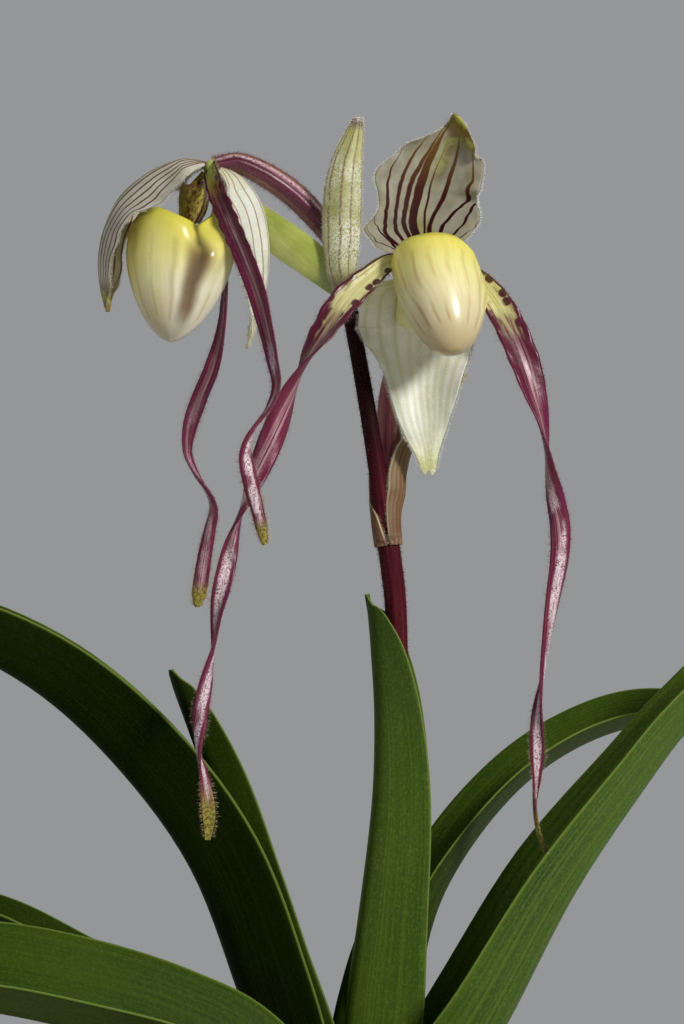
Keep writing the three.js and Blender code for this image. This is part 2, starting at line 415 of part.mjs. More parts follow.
// One flower: where its whorls meet, and which way its parts point
const FLOWERS = {
  1: {
    centre: new THREE.Vector3(16, -2, 334.9),
    ovary: [
      [5.6, 1.7, 276, 1.2], [5.8, 3.6, 283, 2.1], [5.7, 5.6, 293, 2.7], [6.2, 7.6, 305, 2.8],
      [9, 9.4, 316, 2.7], [13, 8.4, 325.5, 2.4], [15.6, 3.4, 332.4, 2.1], [16, 0, 334.4, 2.2],
    ],
    dorsal: [
      [16, -2.2, 337, 2.8, 2.8, 0, 6], [15.4, -1.2, 339.6, 7.3, 6.4, 0, 10],
      [15, 0, 341.6, 12.1, 10.1, 0, 12], [14.6, 1.2, 344, 13.3, 13, 0, 14],
      [14.2, 2.2, 346.9, 14.8, 13.7, 0, 16], [13.9, 2.8, 350, 11.1, 13.2, 0, 17],
      [13.9, 3.2, 353, 11.1, 13.4, 0, 18], [14.4, 3.4, 356.4, 12.7, 13.1, 0, 20],
      [15.7, 3.2, 360.3, 9.6, 13.7, 0, 22], [17.7, 2.4, 364.6, 6.9, 13, 0, 24],
      [19.6, 0.6, 368.6, 1.9, 10.8, 0, 26], [21, -1.6, 370.8, 1, 8.2, 0, 26],
      [22, -3.6, 372.4, 1.1, 1.1, 0, 20],
    ],
    synsepal: [
      [15.8, -1.8, 332.2, 3, 3, 0, 6], [15.2, -1.4, 330, 12, 13, 0, 12],
      [14.7, -1.2, 326.4, 13, 16.4, 0, 16], [14.9, -0.4, 322, 11.9, 17.4, 0, 20],
      [14.5, 0.2, 317.2, 11.5, 15.6, 0, 22], [14.2, -0.2, 311.4, 10.4, 11.1, 0, 26],
      [14.4, -1.4, 304.6, 8.2, 8.7, 0, 26], [15, -2.6, 297.6, 4.8, 6.4, 0, 24],
      [15.6, -3.6, 291.6, 2, 3.8, 0, 20], [15.1, -4, 286.4, 1.7, 1.7, 0, 14],
    ],
    near: TO_VIEWER,
    sepalWave: 1.1,
    petals: {
      left: [
        [11.6, -3.6, 336, 1.8, 0], [6.2, -7, 337.2, 2.1, 5], [0.7, -12, 332.9, 2.9, 10],
        [-4.8, -16, 327.2, 3.7, 20], [-9.7, -20, 319.5, 3.7, 42], [-13.9, -22, 312.4, 3.5, 80],
        [-17.9, -24, 303.9, 3.3, 128], [-22, -26, 294.5, 3, 175], [-26.5, -27, 284.7, 2.9, 226],
        [-29, -28, 278.2, 2.7, 262], [-31.3, -29, 271.7, 2.5, 300], [-32.6, -30, 264.2, 2.2, 345],
        [-34, -30, 255.9, 2.1, 400], [-35, -30, 246.8, 2, 444], [-36.6, -30, 238.7, 1.9, 495],
        [-38.4, -30, 231.3, 1.8, 545], [-39.1, -30, 223.6, 1.7, 610], [-37.7, -30, 215.5, 1.6, 668],
        [-36.4, -30, 207.4, 1.5, 718], [-36.6, -30, 201.6, 0.6, 730],
      ],
      right: [
        [20.4, -3.4, 336, 1.8, 0], [26, -5, 334, 2.2, 0], [30.4, -8, 328.6, 3.4, -6],
        [34.1, -10, 322.1, 3.7, -10], [37.4, -12, 313.7, 3.8, -18], [39.7, -13, 305.4, 3.5, -38],
        [41.5, -14, 298.3, 3, -65], [42.7, -14, 291.9, 2.7, -90], [43.4, -14, 286.4, 2.6, -116],
        [44.6, -14, 281, 2.5, -145], [46, -14, 274.2, 2.4, -172], [46, -14, 266.4, 2.3, -196],
        [44.6, -14, 256.9, 2.1, -218], [43.2, -14, 247.5, 1.9, -240], [41.8, -14, 237.3, 1.8, -268],
        [40.9, -13, 229, 1.7, -318], [40.7, -12, 221.3, 1.7, -362], [40.3, -11, 214.2, 1.5, -412],
        [40.1, -10, 208.2, 1.4, -445], [40.8, -9, 202.6, 1.2, -455], [42.8, -8, 196.6, 0.5, -460],
      ],
    },
    pouch: {
      toe: new THREE.Vector3(21.4, -23.4, 314.3), up: new THREE.Vector3(-0.16, 0.57, 0.76),
      front: [-0.16, -1, 0], tilt: -0.06, lobes: [0.08, 0.42],
      rim: [[0, 0.93], [50, 0.96], [108, 0.93], [150, 0.98], [180, 1.03]],
    },
    column: [[16, -2.4, 336.4, 2], [16.2, -4, 339, 2], [16.4, -6.6, 340.8, 1.8]],
    stigma: [
      [16, -3.4, 338, 1.4], [16.4, -6.4, 336.4, 1.5], [16.8, -8.6, 333, 1.5], [17, -9.4, 330.6, 0.9],
    ],
    shield: { centre: new THREE.Vector3(16.5, -8.2, 338.6), face: [0.1, -0.9, 0.4], up: [0, 0.4, 0.9] },
  },
  2: {
    centre: new THREE.Vector3(-36.4, 0, 360.2),
    ovary: [
      [-4.6, 2.4, 332.4, 1.5], [-7.4, 4.6, 342.4, 2.2], [-12.4, 4.8, 349.6, 2.9], [-18, 4.4, 355, 3],
      [-24.4, 3, 359.2, 2.9], [-30.4, 1.4, 361.6, 2.5], [-34.6, 0.3, 361, 2.2], [-36.2, 0, 360.6, 2.2],
    ],
    dorsal: [
      [-38.2, 0, 361.4, 3.4, 3.4, 0, 34], [-44, 0, 362, 7.8, 12.5, 5, 40],
      [-51.6, 0, 359, 11.6, 13.4, -2, 40], [-58.4, 0, 353.4, 12.6, 12, -3, 38],
      [-62, 0, 346, 8.8, 11.8, 10, 38], [-63.4, 0, 338.6, 6.8, 10.4, 14, 40],
      [-63, 0, 331.6, 5.8, 8.4, 12, 40],
      [-61.6, 0, 325.8, 1.1, 1.1, 12, 30],
    ],
    synsepal: [
      [-34.6, 0.4, 360.4, 4.4, 4.4, 0, 36], [-29.6, 0.6, 357.8, 9.6, 9.6, 0, 42],
      [-25.4, 0.8, 352.2, 12.4, 12.4, 0, 44],
      [-23.6, 1, 345, 13, 13, 0, 48], [-23.4, 1, 336.8, 11, 11, 0, 48], [-24.6, 1, 328.6, 7.4, 7.4, 0, 44],
      [-26.6, 1, 321.4, 3.8, 3.8, 0, 36], [-28.4, 1, 317, 1.2, 1.2, 0, 24],
    ],
    near: { point: new THREE.Vector3(-44, 0, 334) },
    sepalWave: 0.5,
    petals: {
      near: [
        [-37, -3.6, 360, 2.2, 40], [-35.4, -9, 354.9, 2.5, 35], [-32.9, -14, 348.6, 2.6, 30],
        [-29.9, -19, 341.6, 2.6, 30], [-27, -24, 334.5, 2.6, 32], [-24.6, -28, 327.5, 2.5, 34],
        [-22.6, -32, 319.8, 2.3, 46], [-21.2, -35, 313.2, 2.1, 52], [-20.2, -37, 306.9, 1.9, 62],
        [-22.1, -38, 301.4, 1.8, 78], [-25.3, -38, 297.2, 1.7, 92], [-27.1, -38, 293.1, 1.7, 120],
        [-27.3, -38, 289.2, 1.8, 150], [-26.4, -38, 283.9, 1.7, 172], [-25, -38, 278.2, 1.5, 190],
        [-24.1, -38, 273.6, 1.3, 200], [-23.4, -38, 270.1, 0.5, 205],
      ],
      far: [
        [-36.6, 3.6, 360, 1.8, 40], [-35.3, 8, 355.7, 2.1, 50], [-34.4, 12, 347.5, 2.4, 60],
        [-33.8, 15, 338.7, 2.4, 70], [-33.9, 17, 329.5, 2.3, 75], [-34.9, 18, 321, 2.2, 60],
        [-37.1, 18, 313, 2.1, 30], [-40.5, 18, 305.1, 2, 10], [-43, 18, 298.3, 1.9, -30],
        [-43.7, 18, 292.4, 1.8, -60], [-41.5, 18, 287, 1.7, -78], [-38.5, 18, 282.4, 1.6, -100],
        [-37.3, 18, 278.2, 1.6, -125], [-38.1, 18, 273.3, 1.6, -150], [-39, 18, 267.9, 1.7, -170],
        [-39.8, 18, 262.5, 1.8, -180], [-40.5, 18, 257.6, 1.7, -185], [-41, 18, 254.4, 0.6, -190],
      ],
    },
    pouch: {
      toe: new THREE.Vector3(-45.1, -1, 318.3), up: new THREE.Vector3(0.06, 0.06, 1),
      front: [-1, -0.12, 0], tilt: 0, lobes: [0.2, 0.2],
      rim: [[0, 0.96], [50, 1.02], [108, 0.89], [150, 1.02], [162, 1.07], [180, 1.27]],
    },
    column: [[-37.6, 0, 358.2, 2], [-40, 0, 355.6, 2], [-42, -0.4, 353.6, 1.8]],
    stigma: [
      [-38, 0, 358, 1.4], [-38.6, 0.2, 354.4, 1.5], [-39.4, 0.4, 350.4, 1.5], [-40.6, 0.6, 347.2, 0.9],
    ],
    shield: { centre: new THREE.Vector3(-42.2, -1.2, 351.2), face: [-0.62, -0.78, 0.1], up: [0.1, 0, 1] },
  },
};

// The pouch: an egg-shaped cup, open upwards, its sides notched and folded in behind the front dome. The
// rim is a table of [degrees from the front, share of the height], and the tilt raises one side of it.
// The lobes are how far its two sides bulge.
function makePouch({ toe, up, front, tilt, lobes, rim }, grow = 0) {
  const { height, side, shell, lean, tuck, lobe, around, down } = POUCH;
  const axis = up.clone().normalize();
  const forward = new THREE.Vector3(...front);
  forward.addScaledVector(axis, -forward.dot(axis)).normalize();
  const lateral = axis.clone().cross(forward);
  const swell = (q, { widest, power, blunt }) => (
    q < widest ? (1 - (1 - q / widest) ** power) ** blunt : 1 - 0.9 * (q - widest) ** 2);
  const bump = (x, middle, half) => smooth(1 - Math.abs(x - middle) / half);
  const ring = (share, inset) => Array.from({ length: around }, (_, j) => {
    const phi = (j / around) * 360;
    const fromFront = Math.min(phi, 360 - phi);
    const q = share * (slopes(rim, fromFront) + tilt * Math.sin(radians(phi)));
    const behind = smooth((fromFront - 70) / 60);
    const drawnIn = 1 - tuck * behind * smooth((share - 0.78) / 0.22);
    const lump = bump(fromFront, lobe.angle, lobe.spread) * bump(share, lobe.share, lobe.reach);
    const bulge = 1 + lobes[phi < 180 ? 0 : 1] * lump;
    const deep = swell(q, POUCH.deep) * drawnIn * bulge;
    const wide = swell(q, POUCH.wide) * drawnIn * bulge;
    const ahead = Math.cos(radians(phi));
    const depth = ((ahead < 0 ? POUCH.back : POUCH.front) - inset) * deep;
    return toe.clone()
      .addScaledVector(axis, Math.max(q * height, inset > 0 ? inset + q * (height - inset) : q * height))
      .addScaledVector(forward, depth * ahead + lean * (1 - q) ** 2)
      .addScaledVector(lateral, (side - inset) * wide * Math.sin(radians(phi)));
  });
  const shares = Array.from({ length: down }, (_, i) => ((i + 1) / down) ** 1.35);
  const outer = shares.map((share) => ring(share, -grow));
  const inner = shares.map((share) => ring(share, shell + grow)).reverse();
  return tubeSkin([...outer, ...inner]);
}

// The column with its shield-like staminode and the stigma behind it, one grown piece. The shield is a
// table of [height, half width].
const SHIELD = [[5, 3.6], [4.2, 4.1], [2.2, 4.3], [0, 3.9], [-2.4, 3.1], [-4.4, 2.2], [-5.8, 1.2]];

function makeColumn({ column, stigma, shield }, grow = 0) {
  const post = tube(column, { steps: 4, sides: 7 }, grow);
  const pad = tube(stigma, { steps: 5, sides: 6 }, grow);
  const up = new THREE.Vector3(...shield.up).normalize();
  const rows = SHIELD.map(([height, width]) => [
    ...shield.centre.clone().addScaledVector(up, height).toArray(), width, width, 0, 24,
  ]);
  const face = new THREE.Vector3(...shield.face).negate();
  const plate = blade(rows, { facing: face, steps: 6, across: 4, thickness: 1.6, keel: 3 }, grow);
  return joined([post, pad, plate]);
}

// A long petal: a ribbon that twists as it hangs
function makePetal(rows, grow = 0) {
  const full = rows.map(([x, y, z, w, roll]) => [x, y, z, w, w, roll, 12]);
  return blade(full, {
    ...PETAL, facing: TO_VIEWER, steps: PETAL.stepsPerStation * (rows.length - 1), keel: 1.5,
  }, grow);
}

function makeSepal(rows, facing, options, grow = 0) {
  return blade(rows, { ...SEPAL, facing, ease: 0.5, keel: 4, ...options }, grow);
}

function knob(flower, grow = 0) {
  const ball = new THREE.IcosahedronGeometry(OVARY.knob + grow, 1);
  ball.translate(...flower.centre.toArray());
  return solidOf(ball);
}

// All the pieces of one flower, each cut clear of those that lie before it
function makeFlower(number) {
  const flower = FLOWERS[number];
  const ovary = (grow) => joined([
    tube(flower.ovary, OVARY, grow), knob(flower, grow),
  ]);
  const ripple = (count, phase) => (u, t) => (
    flower.sepalWave * Math.abs(u) ** 3 * Math.sin(2 * Math.PI * count * t + phase * Math.sign(u))
    * smooth(t / 0.2) * smooth((1 - t) / 0.15));
  const parts = {
    column: (grow) => makeColumn(flower, grow),
    pouch: (grow) => makePouch(flower.pouch, grow),
    ...Object.fromEntries(Object.entries(flower.petals).map(
      ([side, rows]) => [`petal_${side}`, (grow) => makePetal(rows, grow)])),
    dorsal_sepal: (grow) => makeSepal(flower.dorsal, flower.near, { wave: ripple(3.2, 1.2) }, grow),
    synsepal: (grow) => makeSepal(
      flower.synsepal, flower.near, { wave: ripple(2.2, 0.8), notch: 0.04 }, grow),
  };
  const made = { ovary: ovary(0) };
  const grown = { ovary: ovary(GAP) };
  for (const [name, make] of Object.entries(parts)) {
    made[name] = without(make(0), ...Object.values(grown));
    grown[name] = make(GAP);
  }
  return { made, grown };
}

// The whole plant in its pot
const plant = new THREE.Group();
const LOOKS = {
  pot: ['clay', 0.9], bark: ['bark', 0.95], root: ['root', 0.9], leaf: ['leaf', 0.45], stem: ['scape', 0.6],
  lowerBract: ['tan', 0.6], greenBract: ['green', 0.35], endBract: ['bud', 0.6],
  dorsal_sepal: ['sepal', 0.6], synsepal: ['sepal', 0.6], petal: ['petal', 0.5],
  pouch: ['pouch', 0.25], column: ['column', 0.4],
  ovary: ['ovary', 0.5],
};

function place(name, shape, look) {
  const [colour, roughness] = LOOKS[look];
  const material = new THREE.MeshStandardMaterial({ color: COLOURS[colour], roughness, metalness: 0 });
  const mesh = new THREE.Mesh(geometryOf(shape), material);
  mesh.name = name;
  plant.add(mesh);
}

const rhizomeGrown = makeRhizome(GAP);
const scapeShape = (grow) => tube(SCAPE, STEM, grow);
const scapeGrown = scapeShape(GAP);

place('pot', makePot(), 'pot');
place('bark', makeBark([rhizomeGrown, ...CROWNS.map(crownHole)]), 'bark');
place('rhizome_and_roots', makeRhizome(), 'root');

// The leaves that show most stay whole, and those behind them are cut clear of them.
const leafOrder = [
  'leaf_centre', 'leaf_right', 'leaf_left', 'leaf_front_left', 'leaf_right_back', 'leaf_left_back',
  'leaf_inner', 'leaf_middle_left', 'leaf_low_right', 'leaf_low_left',
];
const leafCuts = [rhizomeGrown, scapeGrown];
for (const name of leafOrder) {
  place(name, without(makeLeaf(name), ...leafCuts), 'leaf');
  leafCuts.push(makeLeaf(name, GAP));
}

const first = makeFlower(1);
const second = makeFlower(2);
for (const [number, { made }] of [[1, first], [2, second]]) {
  for (const [part, shape] of Object.entries(made)) {
    place(`flower_${number}_${part}`, shape, part.startsWith('petal') ? 'petal' : part);
  }
}

place('flower_stem', without(scapeShape(0), rhizomeGrown, first.grown.ovary, second.grown.ovary), 'stem');

const budShape = { steps: 12, sides: 10, flat: 0.62, ridge: 0.05, ridges: 2 };
const endBract = (grow) => tube(END_BRACT, budShape, grow);
place('end_bract', without(endBract(0), scapeGrown, second.grown.ovary), 'endBract');
place('lower_bract', without(
  blade(LOWER_BRACT, { ...BRACT, facing: TO_VIEWER, across: 10, keel: 14 }),
  scapeGrown, first.grown.ovary), 'lowerBract');
place('green_bract', without(
  blade(GREEN_BRACT, { ...BRACT, facing: new THREE.Vector3(0, 1, 0.3), across: 6, keel: 4 }),
  scapeGrown, second.grown.ovary, second.grown.synsepal, endBract(GAP)), 'greenBract');

export default plant;
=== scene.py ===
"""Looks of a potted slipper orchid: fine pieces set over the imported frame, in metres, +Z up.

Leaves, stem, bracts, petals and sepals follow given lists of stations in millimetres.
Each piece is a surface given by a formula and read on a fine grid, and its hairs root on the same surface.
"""
import math

import bpy
import numpy as np
from mathutils import Euler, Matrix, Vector, noise


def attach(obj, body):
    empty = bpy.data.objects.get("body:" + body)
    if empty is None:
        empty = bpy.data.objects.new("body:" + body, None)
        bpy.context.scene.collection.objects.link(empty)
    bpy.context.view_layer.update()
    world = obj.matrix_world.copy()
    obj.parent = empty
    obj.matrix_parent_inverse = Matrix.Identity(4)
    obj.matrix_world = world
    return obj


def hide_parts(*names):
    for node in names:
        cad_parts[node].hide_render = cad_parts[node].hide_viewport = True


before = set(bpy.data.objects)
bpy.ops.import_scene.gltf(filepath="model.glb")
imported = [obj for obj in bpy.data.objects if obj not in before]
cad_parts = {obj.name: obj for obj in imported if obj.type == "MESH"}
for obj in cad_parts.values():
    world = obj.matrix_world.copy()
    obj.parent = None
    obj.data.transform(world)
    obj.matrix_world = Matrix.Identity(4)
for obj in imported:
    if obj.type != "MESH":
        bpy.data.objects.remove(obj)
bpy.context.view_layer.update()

MM = 0.001
TO_VIEWER = (0, -1, 0)

# Driving sizes, in millimetres
POT = {
    "height": 115, "top_radius": 65, "base_radius": 44, "wall": 5, "floor": 7, "rim_height": 25,
    "rim_out": 4, "lip": 2, "drains": 3, "drain_radius": 5, "drain_ring": 24, "sides": 144,
    "softness": 1.6, "stretch": 3,
}
BARK = {"top": 99, "gap": 0.3, "sides": 90, "seed": 11}
CHIPS = [
    {
        "count": 36, "length": (12, 23), "breadth": (0.45, 0.75), "thick": (3, 6), "skewed": True,
        "tilt": (1.1, 0.9), "from_wall": 12.5, "first_turn": 0, "rise": (0, 1.6), "mesh": (13, 22),
    },
    {
        "count": 260, "length": (4, 9), "breadth": (0.45, 0.8), "thick": (1.6, 3.2), "skewed": False,
        "tilt": (1.4, 1.2), "from_wall": 4, "first_turn": 1, "rise": (0.6, 2.8), "mesh": (5, 10),
    },
]
LEAF = {"half": 0.6, "edge": 0.2, "keel": 5}
SEPAL = {"half": 0.4, "edge": 0.16, "keel": 4}
PETAL = {"half": 0.375, "edge": 0.2, "keel": 1.5, "fold": 12}
LOWER = {"half": 0.4, "edge": 0.15, "keel": 14}
GREEN = {"half": 0.4, "edge": 0.15, "keel": 4}
PLATE = {"half": 0.8, "edge": 0.3, "keel": 3, "fold": 24}
POUCH = {
    "height": 30.9, "front": 13.4, "back": 12.6, "side": 10.5, "shell": 1, "lean": 1.5, "tuck": 0.3,
    "lobe": {"angle": 118, "spread": 28, "share": 0.69, "reach": 0.24},
    "deep": (0.68, 1.5, 0.61), "wide": (0.82, 2, 0.51),
}
KNOB = 2.35
SHIELD = [(5, 3.6), (4.2, 4.1), (2.2, 4.3), (0, 3.9), (-2.4, 3.1), (-4.4, 2.2), (-5.8, 1.2)]

# Hairs: how they hang and bend, as shares of their length, and the stretch of a sheet that carries them
HAIR = {"droop": 0.25, "bend": 0.28, "span": (0.02, 0.99)}
HAIR_DRAW = np.random.default_rng(5)
# How many hairs each surface carries, how long they are and how thick, in millimetres
FUR = {
    "stem": (6500, 0.75, 0.035), "end_bract": (2600, 0.7, 0.03), "ovary": (2200, 1, 0.035),
    "bract": (500, 0.5, 0.025), "bract_margin": (260, 0.7, 0.03), "stigma": (260, 0.8, 0.03),
    "shield": (420, 0.8, 0.03), "shield_margin": (160, 1, 0.03), "petal": (550, 0.5, 0.025),
    "petal_margin": (900, 1.2, 0.03), "sepal": (700, 0.5, 0.025), "sepal_margin": (800, 1, 0.03),
}
# How many steps each surface has along it, and across or round it
STEPS = {
    "rhizome": (24, 24), "root": (50, 14), "leaf": (90, 28), "stem": (220, 24), "end_bract": (120, 56),
    "bract": (70, 36), "ovary": (90, 45), "knob": (16, 28), "column": (16, 20), "stigma": (20, 20),
    "shield": (40, 30), "pouch": (56, 96), "petal": (340, 12), "sepal": (110, 60),
}

# Routes and stations, in millimetres
RHIZOME = [
    [[0, 4, 84, 4.6], [0, -12, 83, 4], [2, -26, 83, 4], [2, -41, 84, 4.4]],
    [[0, 0, 82, 4.4], [0, 0, 92, 3.4]],
    [[2, -37, 82, 3.8], [2, -37, 92, 3]],
]

ROOTS = [
    [[-1, 2, 85, 2], [-12, 8, 90, 2], [-24, 15, 91, 1.9], [-33, 20, 82, 1.8], [-36, 22, 66, 1.4]],
    [[1, 2, 85, 2], [13, 9, 91, 2], [25, 17, 92, 1.9], [34, 22, 84, 1.8], [37, 22, 68, 1.4]],
    [[2, -33, 84, 2], [13, -36, 89, 2], [22, -36, 90, 1.9], [26, -34, 80, 1.7], [27, -32, 66, 1.4]],
    [[1, -33, 84, 2], [-12, -37, 89, 2], [-22, -36, 90, 1.9], [-29, -32, 80, 1.7], [-31, -28, 66, 1.4]],
    [[0, 3, 85, 2], [1, 14, 91, 2], [2, 26, 91, 1.9], [2, 34, 80, 1.7], [2, 36, 62, 1.4]],
]

NEST = {
    "leaf_centre": 4.3, "leaf_inner": 5.9, "leaf_right_back": 7.5, "leaf_left_back": 9.1,
    "leaf_right": 10.7, "leaf_left": 12.3,
    "leaf_middle_left": 3.4, "leaf_front_left": 5.2, "leaf_low_right": 7, "leaf_low_left": 8.8,
}

LEAVES = {
    "leaf_centre": [
        [-7, 0, 94, 13, 0, 84], [-7.5, 0, 125, 18, 0, 82], [-4.8, -0.5, 155, 20.6, 0, 79],
        [-0.9, -1, 182, 18.2, 0, 77], [2.2, -1, 208, 16.2, 0, 75], [2.8, -1, 228, 14, 0, 72],
        [2, -1.5, 244, 10.8, 0, 66], [1.3, -2, 252.6, 6.8, 0, 56], [0.9, -2, 255.4, 3.2, 0, 46],
        [0.5, -2, 258, 0.7, 0, 40],
    ],
    "leaf_inner": [
        [-8.8, 0, 94, 13, 0, 84], [-9.4, 0.3, 125, 14, 0, 82], [-8, 1, 150, 13, 0, 80],
        [-4.6, 2.6, 166, 10, 0, 74], [-0.5, 5, 178, 6, 0, 66], [3, 6.5, 187, 0.8, 0, 50],
    ],
    "leaf_right_back": [
        [8, 0, 94, 16, 0, 84], [9.4, 1, 120, 16, 2, 80], [11.8, 6, 150, 13, 6, 62],
        [15.4, 12, 176, 13.5, 12, 46], [24, 19, 194, 13.5, 15, 39], [38.6, 25, 211, 12.5, 15, 36],
        [55.8, 31, 221.6, 12, 14, 36], [73.4, 36, 225.5, 11.5, 14, 36], [94, 40, 222, 10, 12, 36],
        [112, 43, 210, 7.5, 10, 34], [124, 45, 196, 1, 8, 30],
    ],
    "leaf_left_back": [
        [-10.6, 0, 94, 18, 0, 84], [-12.6, 0.4, 120, 18, 0, 80], [-17.5, 0.8, 145, 16, -4, 72],
        [-24.7, 1, 170, 13.5, -8, 66], [-30, 1.5, 188, 13, -10, 60], [-36.2, 3, 209, 12, -14, 54],
        [-41.5, 5, 224, 10, -16, 48], [-45, 6, 233.6, 6.6, -18, 44], [-46.4, 6, 238, 2.6, -20, 38],
        [-46.8, 6, 239.6, 0.8, -20, 34],
    ],
    "leaf_right": [
        [13, 0, 94, 22, 0, 84], [16.6, -0.5, 118, 22, 0, 80], [24, -2, 139, 23, 2, 66],
        [34.3, -3, 157, 24, 4, 54], [49.7, -4, 187, 22, 5, 46], [67.4, -5, 213.8, 17.4, 5, 43],
        [78, -5.5, 227.6, 15.8, 5, 42], [94, -6, 243, 15, 5, 41], [115, -7, 256, 14, 4, 40],
        [140, -8, 262, 12.6, 2, 38], [164, -9, 258, 10.4, 0, 36], [184, -9, 244, 6.4, 0, 34],
        [193, -9, 233, 2.2, 0, 30], [194.6, -9, 230, 0.8, 0, 30],
    ],
    "leaf_left": [
        [-15, 0, 94, 24, 0, 84], [-18, -0.5, 118, 23.5, 0, 80], [-23, -1, 141, 22.5, -1, 68],
        [-30, -2, 163, 22.5, -2, 62], [-41.5, -3, 193, 22, -3, 59], [-59.3, -5, 217.7, 21.5, -3, 57],
        [-80, -7, 236.6, 20, -3, 53], [-104, -9, 248, 18, -2, 48], [-130, -11, 249, 16, 0, 44],
        [-154, -13, 237, 12.5, 0, 40], [-171, -14, 222, 7.5, 0, 36], [-179, -15, 211, 2.4, 0, 32],
        [-181, -15, 207.4, 0.8, 0, 30],
    ],
    "leaf_front_left": [
        [-7.5, -38, 92, 16, 0, 84], [-11, -38.5, 112, 18, 4, 74], [-19.5, -41, 131, 21, 8, 60],
        [-32, -44, 147, 22, 12, 52], [-45, -47, 154.6, 22.5, 14, 46], [-62, -51, 160.6, 23, 15, 43],
        [-84, -55, 166, 22.5, 15, 42], [-108, -58, 169, 20.5, 14, 40], [-132, -61, 163, 17, 12, 38],
        [-152, -63, 151, 11, 8, 36], [-164, -64, 140, 4, 6, 32], [-167, -64, 136.4, 0.8, 6, 30],
    ],
    "leaf_middle_left": [
        [-5.6, -37, 92, 12, 0, 84], [-8.6, -36, 112, 14, 0, 80], [-16, -31, 130, 15, 2, 66],
        [-30, -25, 144, 15, 4, 56], [-50, -20, 156, 15, 4, 52], [-71, -16, 167.6, 14.5, 4, 50],
        [-90, -13, 177, 14, 4, 48], [-112, -11, 183, 12.5, 2, 46], [-134, -9, 181, 9.5, 0, 42],
        [-150, -8, 172, 4.5, 0, 38], [-156, -8, 167, 0.8, 0, 34],
    ],
    "leaf_low_left": [
        [-9.6, -37, 90, 17, 0, 84], [-14, -37, 104, 17, 0, 72], [-26, -38, 120, 16, 2, 56],
        [-44, -38.5, 134, 16, 2, 50], [-64, -38, 144, 15.5, 0, 46], [-86, -37, 148, 14.5, 0, 44],
        [-108, -36, 145, 12.5, 0, 42], [-128, -35, 135, 8.5, 0, 40], [-142, -35, 123, 1, 0, 34],
    ],
    "leaf_low_right": [
        [9, -37, 92, 15, 0, 84], [13.5, -37.5, 110, 16, 0, 72], [26, -39, 126, 15.5, 2, 58],
        [44, -41, 138, 15.5, 4, 50], [66, -43, 146, 15, 4, 46], [90, -45, 148, 13, 2, 44],
        [112, -47, 141, 9, 0, 40], [127, -48, 130, 1, 0, 34],
    ],
}

SCAPE = [
    [-0.4, 0, 95, 2.6], [0, 0, 125, 2.6], [2.2, 0, 155, 2.7], [6, 0.2, 190, 2.7], [7.8, 0.4, 222, 2.6],
    [7.5, 0.3, 252, 2.6], [6.4, 0, 264, 2.65], [5, 0, 274, 2.6], [3.4, -0.4, 285, 2.2], [1.2, -0.8, 299, 2],
    [-1.2, -1, 313, 1.9], [-3.4, -0.8, 325, 1.9], [-4.7, 0, 331.6, 2.1],
]

LOWER_BRACT = [
    [5.7, 3.2, 269.4, 9.5, 9.5, 0, 259], [5.1, 3.5, 275, 8.4, 10.2, 0, 243],
    [5.1, 5.6, 280.5, 5.2, 13, 0, 189], [5.5, 7.6, 287.3, 6.4, 13.2, 0, 186],
    [7.4, 10.2, 294.5, 6, 12, 0, 184], [11.4, 12.2, 300.5, 5, 9, 0, 174],
    [17.4, 12.9, 306.5, 3.4, 5, 0, 180], [24.4, 12, 311.6, 0.9, 0.9, 0, 100],
]

GREEN_BRACT = [
    [-6.4, 0.6, 331.5, 2.4, 2.4, 0, 22], [-10, 0, 335.4, 3.8, 3.8, 0, 26],
    [-14.5, 0, 339.2, 4.5, 4.5, 0, 26], [-19.8, 1, 343, 4.6, 4.6, 0, 24], [-24.6, 3, 347, 4, 4, 0, 20],
    [-28.6, 5.4, 351.4, 2.6, 2.6, 0, 16], [-30.8, 7, 354.6, 0.7, 0.7, 0, 12],
]

END_BRACT = [
    [-4.6, -0.9, 330.6, 2.3], [-5.3, -1.1, 334, 3.5], [-5.7, -1.2, 337.8, 4.2], [-5.6, -1.4, 343.5, 4.9],
    [-5.5, -1.4, 350, 5], [-5.2, -1.4, 355.5, 4.8], [-4.4, -1.2, 361.2, 4.1], [-3.2, -1, 366, 2.9],
    [-2, -0.8, 370.3, 1.7], [-1.7, -0.8, 372.4, 1],
]

